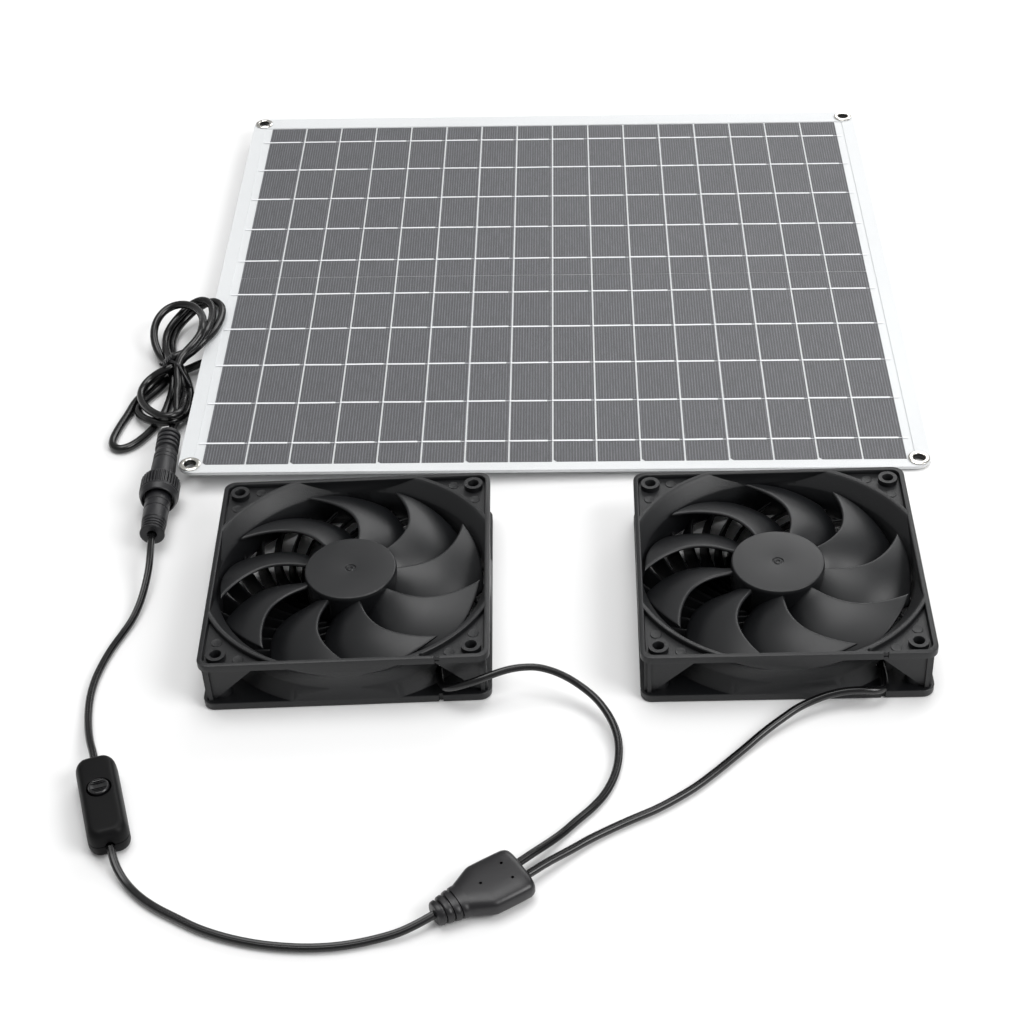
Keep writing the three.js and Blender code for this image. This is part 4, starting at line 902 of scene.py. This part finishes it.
board = sheet("panel_board", 0.0, 1.2, 0.18, board_mat, 3.75)
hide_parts("backing_board")

CW, CH, GX, GY, NC, CY = 19.84, 158.75, 0.8, 0.5, 16, -2.6
total = NC * CW + (NC - 1) * GX
rng = np.random.RandomState(7)
for row, y0 in (("rear", CY + GY / 2), ("front", CY - GY / 2 - CH)):
    V, F, RV, RF, PV, PF = [], [], [], [], [], []

    def slab(V_, F_, pts, z0, z1, inset=0.0):
        n = len(V_)
        k = len(pts)
        for x, y in pts:
            V_.append((x, y, z0))
        for x, y in pts:
            V_.append((x, y, z1))
        F_.append(tuple(range(n, n + k))[::-1])
        F_.append(tuple(range(n + k, n + 2 * k)))
        for i in range(k):
            j = (i + 1) % k
            F_.append((n + i, n + j, n + k + j, n + k + i))

    for i in range(NC):
        x0 = -total / 2 + i * (CW + GX)
        x1 = x0 + CW
        dy = rng.uniform(-0.12, 0.12)
        a, b = y0 + dy * 0.3, y0 + CH + dy * 0.3
        # wafers cut from a pseudo-square: every other strip keeps the clipped corners of the wafer's end
        c = 1.5 if (row == "front" and i % 2 == 0) else 0.25
        slab(V, F, [(x0 + c, a), (x1 - 0.25, a), (x1, a + 0.25), (x1, b - 0.25), (x1 - 0.25, b), (x0 + 0.25, b), (x0, b - 0.25), (x0, a + c)], 1.25, 1.45)
        for f in (0.1, 0.3, 0.5, 0.7, 0.9):
            y = y0 + CH * f + rng.uniform(-0.12, 0.12)
            end = CW * rng.uniform(0.89, 0.94)
            w = 0.52
            start = x0 - (GX * 0.9 if i else 3.4)
            tw = rng.uniform(-0.1, 0.1)
            slab(RV, RF, [(start, y - w - tw), (x0 + end - 0.3, y - w + tw), (x0 + end, y - w + 0.25 + tw), (x0 + end, y + w - 0.25 + tw), (x0 + end - 0.3, y + w + tw), (start, y + w - tw)], 1.5, 1.62)
            slab(PV, PF, [(x0 + end + 0.02, y - 0.24), (x1 - 0.2, y - 0.24), (x1 - 0.2, y + 0.24), (x0 + end + 0.02, y + 0.24)], 1.5, 1.53)
            if i == NC - 1:
                slab(RV, RF, [(x1 + 0.1, y - 0.45), (x1 + 2.6, y - 0.45), (x1 + 2.6, y + 0.45), (x1 + 0.1, y + 0.45)], 1.5, 1.6)
    cells = make("cells_" + row, V, F, cell_mat, PANEL_M, False)
    fix_normals(cells)
    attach(cells, "base")
    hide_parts("cell_string_" + row)
    ribs = make("ribbons_" + row, RV, RF, ribbon_mat, PANEL_M, False)
    fix_normals(ribs)
    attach(ribs, "base")
    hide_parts("busbars_" + row)
    pr_ = make("busbar_print_" + row, PV, PF, print_mat, PANEL_M, False)
    fix_normals(pr_)
    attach(pr_, "base")

film = Tree("clear_film")
film.set(Base_Color=(0.86, 0.88, 0.9, 1.0), Roughness=film.maprange(film.noise(60.0), 0.3, 0.7, 0.3, 0.38), Normal=film.bump(film.noise(1500.0, 2.0), 0.2, 0.00003))
film.bsdf.inputs["Alpha"].default_value = 0.045
film_mat = film.mat
top_film = sheet("panel_film", 1.68, 1.94, 0.06, film_mat, 3.75, 175.9, 167.9)
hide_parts("front_film")
# the laminate's sealed white edge, between the board and the film
edge_out = rr_stack("edge", 176.0, 168.0, 8, [(1.2, 0.0), (1.66, 0.0)], n=14)
edge_in = rr_stack("edge_cut", total / 2 + 4.4, CH + GY / 2 + 0.6, 1.5, [(0.0, 0.0), (3.0, 0.0)], n=4, c=(0, CY))
edge_out = boolean(edge_out, edge_in, "DIFFERENCE")
for x, y in holes:
    edge_out = boolean(edge_out, lathe_at("h", [(0, 0), (3.75, 0), (3.75, 3), (0, 3)], x, y, 40), "DIFFERENCE")
me = edge_out.data
co = np.empty(len(me.vertices) * 3, np.float32)
me.vertices.foreach_get("co", co)
me.vertices.foreach_set("co", (co.reshape(-1, 3) @ PANEL_R.T.astype(np.float32) + (PANEL_M[1] * MM).astype(np.float32)).ravel())
me.materials.clear()
me.materials.append(board_mat)
me.update()
edge_out.name = "panel_sealed_edge"
autosmooth(edge_out, 30)
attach(edge_out, "base")

for k, (x, y) in enumerate(holes):
    prof = rounded([(2.85, 2.35, 0.3), (3.3, 2.62, 0.3), (4.3, 2.62, 0.3), (5.0, 2.3, 0.2), (5.0, 2.05, 0.05), (3.6, 2.02, 0.05), (3.4, 1.8, 0.1), (3.4, -0.1, 0.1), (3.6, -0.12, 0.05), (4.9, -0.14, 0.1), (4.7, -0.6, 0.25), (3.2, -0.58, 0.25), (2.85, -0.2, 0.2)], 0.2, 4, True)
    v, f = lathe_data(prof, 72, True)
    e = make("eyelet_pressing_%d" % (k + 1), [(p[0] + x, p[1] + y, p[2]) for p in v], f, nickel, PANEL_M)
    autosmooth(fix_normals(e), 50)
    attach(e, "base")
    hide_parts("eyelet_%d" % (k + 1))

    # the barrel's inside: a dark lining of painted shade that stands for the shadow down the hole
    prof = rounded([(2.86, 2.1, 0.05), (2.86, -0.4, 0.05), (2.74, -0.5, 0.05), (2.7, 0.3, 0.2), (2.66, 1.2, 0.2), (2.74, 2.2, 0.05)], 0.1, 3, True)
    v, f = lathe_data(prof, 64, True)
    e = make("eyelet_barrel_%d" % (k + 1), [(p[0] + x, p[1] + y, p[2]) for p in v], f, barrel_painted_shade, PANEL_M)
    autosmooth(fix_normals(e), 50)
    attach(e, "base")


# --------------------------------------------------------- screw connector
nylon = moulded("connector_plastic", (22, 22, 25), 0.42, grain=1200.0, strength=0.4, vary=0.12, spec=0.45)
shell_plastic = moulded("switch_plastic", (9, 9, 10), 0.46, grain=1500.0, strength=0.3, vary=0.1, spec=0.14)
rocker_mat = moulded("rocker_plastic", (16, 16, 18), 0.3, grain=600.0, strength=0.1, vary=0.05, spec=0.6)
split_mat = moulded("splitter_plastic", (16, 15, 18), 0.36, grain=900.0, strength=0.3, vary=0.1, spec=0.5)


def piece(ob, body, slot, *nodes):
    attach(ob, body)
    if nodes:
        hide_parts(*nodes)
    return ob


prof = [(2.25, 0.35, 0.2), (2.9, 0.0, 0.2), (5.1, 0.0, 0.35)]
for i in range(4):
    b = 3.25 * i
    prof += [(5.5, b + 0.35, 0.35), (5.5, b + 2.0, 0.35), (4.35, b + 2.25, 0.3), (4.35, b + 3.1, 0.3)]
prof += [(4.9, 13.2, 0.3), (5.05, 15.2, 0.5), (5.45, 16.6, 0.4), (5.5, 18.7, 0.1), (5.25, 18.85, 0.1), (5.25, 19.35, 0.1), (5.5, 19.5, 0.1), (5.6, 21.4, 0.1), (5.35, 21.55, 0.1), (5.35, 22.05, 0.1), (5.62, 22.2, 0.1),
         (5.9, 34.9, 0.3), (5.6, 35.4, 0.2), (4.7, 35.4, 0.1), (4.7, 44.0, 0.2), (3.6, 44.0, 0.2), (3.6, 9.9, 0.1), (2.25, 9.9, 0.1)]
piece(turned("connector_socket_moulding", prof, nylon, CON_M, 112, 0.2, True, 42), "base", "connector_plastic", "connector_socket")


def knurled(name, prof, ribs, depth, z0, z1, mat, M, seg=720, body="base"):
    """A turned piece whose outer wall between z0 and z1 carries rounded ribs."""
    p = rounded(prof, 0.3, 4, True)
    out = []
    for i in range(len(p)):
        a, b = np.array(p[i]), np.array(p[(i + 1) % len(p)])
        out.append(tuple(a))
        L = np.linalg.norm(b - a)
        for k in range(1, int(L / 0.6) + 1):
            if k * 0.6 < L - 0.05:
                out.append(tuple(a + (b - a) * (k * 0.6 / L)))
    V, F = lathe_data(out, seg, True)
    V = np.array(V, float)
    r = np.hypot(V[:, 0], V[:, 1])
    a = np.arctan2(V[:, 1], V[:, 0])
    inside = (V[:, 2] > z0 - 1e-6) & (V[:, 2] < z1 + 1e-6) & (r > 8.0)
    fade = np.clip((V[:, 2] - z0) / 1.0, 0, 1) * np.clip((z1 - V[:, 2]) / 1.0, 0, 1)
    wv = 0.5 + 0.5 * np.cos(a * ribs)
    wv = np.clip((wv - 0.3) / 0.5, 0, 1)
    dr = np.where(inside, -depth * (1 - wv) * fade, 0.0)
    V[:, 0] *= (r + dr) / np.maximum(r, 1e-9)
    V[:, 1] *= (r + dr) / np.maximum(r, 1e-9)
    ob = make(name, V, F, mat, M)
    return autosmooth(fix_normals(ob), 55)


nut = knurled("union_nut_moulding", [(6.25, 36.1, 0.2), (8.3, 35.8, 0.5), (9.15, 36.9, 0.8), (9.15, 45.2, 0.2), (8.9, 45.5, 0.1), (8.9, 45.9, 0.1), (9.0, 46.2, 0.3), (8.1, 48.9, 0.5), (7.8, 49.3, 0.4), (7.2, 49.3, 0.2), (7.2, 46.8, 0.2), (6.25, 46.6, 0.1)],
              34, 0.9, 36.3, 45.1, nylon, CON_M)
piece(nut, "nut", "connector_plastic", "union_nut")
prof = [(2.0, 55.0, 0.1), (2.0, 73.0, 0.3), (2.3, 73.5, 0.2), (5.3, 73.55, 0.3), (5.7, 73.2, 0.2), (5.55, 72.7, 0.3), (4.75, 71.9, 0.5)]
prof += [(4.8, 71.3, 0.15), (5.35, 71.1, 0.25), (5.4, 70.3, 0.25), (4.8, 70.1, 0.15), (4.85, 69.6, 0.15), (5.45, 69.4, 0.25), (5.5, 68.6, 0.25), (4.9, 68.4, 0.15), (4.95, 67.9, 0.15), (5.5, 67.7, 0.25), (5.6, 66.9, 0.25),
         (5.05, 66.6, 0.2), (5.15, 65.9, 0.3), (5.7, 65.4, 0.3), (5.75, 58.2, 0.1), (5.5, 58.05, 0.1), (5.5, 57.6, 0.1), (5.78, 57.45, 0.1), (5.8, 53.7, 0.1), (5.55, 53.55, 0.1), (5.55, 53.1, 0.1), (5.82, 52.95, 0.1), (5.9, 45.2, 0.3),
         (5.6, 44.9, 0.2), (3.6, 44.9, 0.2), (3.6, 55.0, 0.1)]
piece(turned("connector_plug_moulding", prof, nylon, CON_M, 112, 0.2, True, 42), "base", "connector_plastic", "connector_plug")

# ----------------------------------------------------------- in-line switch
def egg(hx, hy, r, n=14):
    """A stadium-like outline with full, slightly squared ends."""
    out = []
    for k in range(4 * n):
        t = 2 * math.pi * k / (4 * n)
        c, s = math.cos(t), math.sin(t)
        p = 2.0 / r
        out.append((hx * math.copysign(abs(c) ** p, c), hy * math.copysign(abs(s) ** p, s)))
    return out


def soft_rect(hx, hy, rx, n=12):
    """Straight sides, ends rounded with an ellipse of depth rx."""
    out = []
    for sx, sy, a0 in ((1, 1, 0), (-1, 1, 90), (-1, -1, 180), (1, -1, 270)):
        for k in range(n + 1):
            a = rad(a0 + 90 * k / n)
            out.append((sx * (hx - rx) + rx * math.cos(a), sy * (hy * 0.42) + hy * 0.58 * math.sin(a)))
    return out


def shell(name, levels):
    rings = [[(x, y, z) for x, y in soft_rect(hx, hy, rx)] for z, hx, hy, rx in levels]
    return loft(name, rings, None, None, 40)


low = shell("low", [(0.3, 20.6, 6.6, 5.0), (0.55, 21.4, 7.4, 5.2), (1.3, 22.1, 7.95, 5.4), (2.4, 22.4, 8.2, 5.5), (4.4, 22.5, 8.25, 5.5), (5.65, 22.45, 8.22, 5.5)])
low = boolean(low, shell("in", [(2.2, 19.6, 5.9, 6.2), (7.0, 19.6, 5.9, 6.2)]), "DIFFERENCE")
up_ = shell("up", [(5.95, 22.4, 8.2, 5.5), (7.6, 22.3, 8.12, 5.5), (9.2, 22.05, 7.9, 5.4), (10.4, 21.7, 7.55, 5.3), (11.3, 21.2, 7.1, 5.1), (11.9, 20.65, 6.55, 4.9), (12.25, 20.1, 6.0, 4.6), (12.42, 19.4, 5.35, 4.3), (12.47, 18.6, 4.6, 4.0)])
up_ = boolean(up_, shell("in", [(5.0, 19.6, 5.9, 6.2), (9.6, 19.2, 5.5, 6.0)]), "DIFFERENCE")
up_ = boolean(up_, lathe_at("recess", [(0, 8.9), (4.75, 8.9), (4.75, 12.0), (4.95, 12.3), (5.3, 12.6), (5.3, 13.5), (0, 13.5)], -3.2, 0, 72), "DIFFERENCE")


def cable_cut():
    c = cyl("c", 1.95, -30, 30, (0, 0), 40)
    bm = bmesh.new()
    bm.from_mesh(c.data)
    for v_ in bm.verts:
        x, y, z = v_.co
        v_.co = (z, y, x + 0.0056)
    bmesh.ops.recalc_face_normals(bm, faces=bm.faces)
    bm.to_mesh(c.data)
    bm.free()
    return c


low = boolean(low, cable_cut(), "DIFFERENCE")
up_ = boolean(up_, cable_cut(), "DIFFERENCE")


def settle(ob, M, mat, name, deg=40):
    me = ob.data
    R, t = M
    me.transform(Matrix([list(R[i]) + [t[i] * MM] for i in range(3)] + [[0, 0, 0, 1]]))
    me.materials.clear()
    me.materials.append(mat)
    ob.name = name
    autosmooth(ob, deg)
    return ob


piece(settle(low, SWITCH_M, shell_plastic, "switch_lower_moulding"), "base", "switch_plastic", "switch_lower_shell")
piece(settle(up_, SWITCH_M, shell_plastic, "switch_upper_moulding"), "base", "switch_plastic", "switch_upper_shell")
# a rocking cap: its top is hollow in the middle and has gripping ridges
rk_parts = [lathe_ob("rk", rounded([(0, 9.0, 0), (4.2, 9.0, 0.2), (4.2, 12.9, 0.4), (3.8, 13.4, 0.3), (3.3, 13.4, 0.3), (2.0, 13.05, 0.3), (0, 12.95, 0)], 0.3, 5), 72)]
for x in (-3.0, -2.2, -1.4, 1.4, 2.2, 3.0):
    w_ = math.sqrt(3.6 ** 2 - x * x)
    rk_parts.append(loft("g", [[(x - 0.2, -w_, 12.4), (x + 0.2, -w_, 12.4), (x + 0.2, w_, 12.4), (x - 0.2, w_, 12.4)], [(x - 0.1, -w_ + 0.1, 13.6), (x + 0.1, -w_ + 0.1, 13.6), (x + 0.1, w_ - 0.1, 13.6), (x - 0.1, w_ - 0.1, 13.6)]]))
rk = joined("rk", rk_parts)
me = rk.data
me.transform(Matrix.Translation((-3.2 * MM, 0, 0)))
piece(settle(rk, SWITCH_M, rocker_mat, "switch_rocker_cap"), "rocker", "rocker_plastic", "switch_rocker")

# --------------------------------------------------------------- Y-splitter
def super_sec(hy, z0, z1, e=3.0, n=40):
    zc, hz = (z0 + z1) / 2, (z1 - z0) / 2
    out = []
    for k in range(n):
        t = 2 * math.pi * k / n
        c, s = math.cos(t), math.sin(t)
        out.append((hy * math.copysign(abs(c) ** (2 / e), c), zc + hz * math.copysign(abs(s) ** (2 / e), s)))
    return out


def body_rings(st):
    return [[(x, y, z) for y, z in super_sec(hy, z0, z1, e, 64)] for x, hy, z0, z1, e in st]


st = [(9.9, 6.3, 0.75, 9.25, 2.2), (10.6, 6.8, 0.7, 9.3, 2.3), (12.2, 7.5, 0.6, 9.4, 2.5), (14.5, 8.6, 0.5, 9.5, 2.8), (17.0, 9.9, 0.4, 9.55, 3.0), (19.0, 10.9, 0.4, 9.6, 3.2), (20.2, 11.35, 0.4, 9.6, 3.3), (21.2, 11.55, 0.4, 9.6, 3.3),
      (26, 11.6, 0.4, 9.6, 3.3), (32, 11.6, 0.4, 9.6, 3.3), (35.2, 11.5, 0.45, 9.55, 3.3), (36.6, 11.1, 0.6, 9.4, 3.2), (37.5, 10.4, 0.95, 9.05, 3.1), (37.9, 9.6, 1.4, 8.6, 3.0), (38.0, 8.8, 1.9, 8.1, 3.0)]
sp = loft("sp", body_rings(st), None, None, 30)
rr = [(0.0, 3.9), (0.12, 4.2), (0.5, 4.4), (1.9, 4.5), (2.15, 4.35), (2.3, 3.7), (3.0, 3.7), (3.15, 4.45), (3.5, 4.7), (4.9, 4.85), (5.2, 4.65), (5.35, 3.95), (6.05, 3.95), (6.2, 4.75), (6.5, 4.95), (7.9, 5.15), (8.2, 4.95), (8.35, 4.1), (9.0, 4.1), (9.15, 4.8), (9.5, 5.1), (10.9, 5.3), (13, 5.0)]
tail_rings = []
for x, r in rr:
    k = max(0.0, min(1.0, (r - 4.3) / 1.0))
    tail_rings.append([(x, y, z) for y, z in super_sec(r + (0.25 + 1.75 * min(x, 9.5) / 9.5 if r > 4.3 or x > 2 else 0.1), 5.0 - min(r, 4.6), 5.0 + min(r, 4.7), 2.2, 64)])
tail = loft("tail", tail_rings, None, None, 30)
sp = boolean(sp, tail, "UNION")
for x, y in ((31.6, 4.1), (31.6, -4.1), (20.2, 0)):
    sp = boolean(sp, lathe_at("pin", [(0, 7.0), (0.62, 7.0), (0.62, 12), (0, 12)], x, y, 24), "DIFFERENCE")
piece(settle(sp, SPLIT_M, split_mat, "y_splitter_moulding", 34), "base", "connector_plastic", "y_splitter")

# ------------------------------------------------- junction box and gland
jb = moulded("black_box", (28, 28, 31), 0.5, grain=1100.0, strength=0.4, vary=0.1)
jx, jy = -138.0, -71.5
b_ = rr_stack("b", 22, 31, 3, [(-6.2, 0.0), (-0.6, 0.0), (-0.3, 0.25)], n=8, c=(jx, jy))
b_ = boolean(b_, rr_stack("bi", 20, 29, 2, [(-7, 0), (-1.8, 0)], n=6, c=(jx, jy)), "DIFFERENCE")
g_ = cyl("t", 2.3, -8, 8, (0, 0), 40)
bm = bmesh.new()
bm.from_mesh(g_.data)
for v_ in bm.verts:
    x, y, z = v_.co
    v_.co = (z - 0.159, y + jy * MM, x - 0.00405)
bmesh.ops.recalc_face_normals(bm, faces=bm.faces)
bm.to_mesh(g_.data)
bm.free()
b_ = boolean(b_, g_, "DIFFERENCE")
piece(settle(b_, PANEL_M, jb, "junction_box_base_moulding"), "base", "black_box", "junction_box_base")
l_ = rr_stack("l", 22, 31, 3, [(-7.8, 1.0), (-7.65, 0.45), (-7.2, 0.0), (-6.5, 0.0)], n=8, c=(jx, jy))
l_ = boolean(l_, rr_stack("lc", 3.2, 4.1, 0.4, [(-9, 0), (-6, 0)], n=3, c=(-158.2, jy)), "DIFFERENCE")
piece(settle(l_, PANEL_M, jb, "junction_box_lid_moulding"), "base", "black_box", "junction_box_lid")
GR = np.array([[0, 0, -1.0], [0, 1, 0], [1, 0, 0]])
GM = (PANEL_R @ GR, PANEL_R @ np.array([-160.0, jy, -4.05]) + PANEL_M[1])
piece(turned("panel_cable_gland_moulding", [(2.25, 0.3), (3.6, 0.3), (3.6, 3), (3.0, 3.4), (3.3, 5.2), (2.8, 5.6), (3.1, 7.4), (2.7, 7.8), (2.7, 12), (2.25, 12)], jb, GM, 64, 0.2, True), "base", "black_box", "panel_cable_gland")


# ------------------------------------------------- the CAD pieces left as is
steel = metal("motor_steel", (180, 181, 184), 0.35)
copper = metal("copper_wire", (184, 108, 66), 0.4)
brass = metal("contact_brass", (205, 172, 98), 0.3)
green = moulded("circuit_board", (38, 96, 60), 0.4)
label = moulded("blank_label", (196, 198, 200), 0.35, vary=0.03)
ferrite = moulded("ferrite", (52, 47, 45), 0.7)
seal = moulded("seal_rubber", (120, 60, 40), 0.6)
SL = {"fan_plastic": fan_plastic, "impeller_plastic": blade_plastic, "connector_plastic": nylon, "switch_plastic": shell_plastic, "motor_steel": steel,
      "nickel_eyelet": nickel, "copper_wire": copper, "contact_brass": brass, "white_board": board_mat, "solar_cell": cell_mat, "tinned_ribbon": ribbon_mat,
      "circuit_board": green, "blank_label": label, "ferrite": ferrite, "seal_rubber": seal, "cable_jacket": jacket, "black_box": jb,
      "component_body": nylon, "rocker_plastic": rocker_mat, "tie_plastic": tie_mat, "clear_film": film_mat}
for sp_ in frame["record"]["subparts"]:
    ob = NODES.get(sp_["node"])
    if ob is not None and ob.type == "MESH":
        ob.data.materials.clear()
        ob.data.materials.append(SL[sp_["material_slot"]])

# -------------------------------------------------------------------- stage
floor = make("floor", [(-4000, -4000, 0), (4000, -4000, 0), (4000, 6000, 0), (-4000, 6000, 0)], [(0, 1, 2, 3)], None, None, False)
floor.location.z = -0.0002
ft = Tree("floor_paint")
ft.set(Base_Color=ft.ramp(ft.noise(3.0), [(0.3, (0.86, 0.86, 0.86)), (0.7, (0.88, 0.88, 0.88))]), Roughness=0.6)
floor.data.materials.append(ft.mat)

world = bpy.data.worlds.new("studio")
bpy.context.scene.world = world
world.use_nodes = True
world.node_tree.nodes["Background"].inputs[0].default_value = (1, 1, 1, 1)
world.node_tree.nodes["Background"].inputs[1].default_value = 0.38


def area(name, loc, target, size, power, size_y=None):
    d = bpy.data.lights.new(name, "AREA")
    d.shape = "RECTANGLE"
    d.size, d.size_y = size, size_y or size
    d.energy = power
    ob = link_obj(bpy.data.objects.new(name, d))
    ob.location = loc
    ob.rotation_euler = (Vector(target) - Vector(loc)).to_track_quat("-Z", "Y").to_euler()
    return ob


area("key", (1.5, -0.9, 1.45), (0, -0.1, 0), 1.1, 27)
area("back", (0.75, 1.7, 1.25), (0, 0, 0), 1.7, 15, 0.9)
area("top", (-0.1, 0.2, 2.2), (0, 0, 0), 1.5, 28)
bpy.context.scene.view_settings.view_transform = "Standard"

# ------------------------------------------------------------------- finish
declare(lead_panel, q_panel)
declare(lead_switch, q_switch)
declare(lead_split, q_split)
declare(lead_left, q_left)
declare(lead_right, q_right)
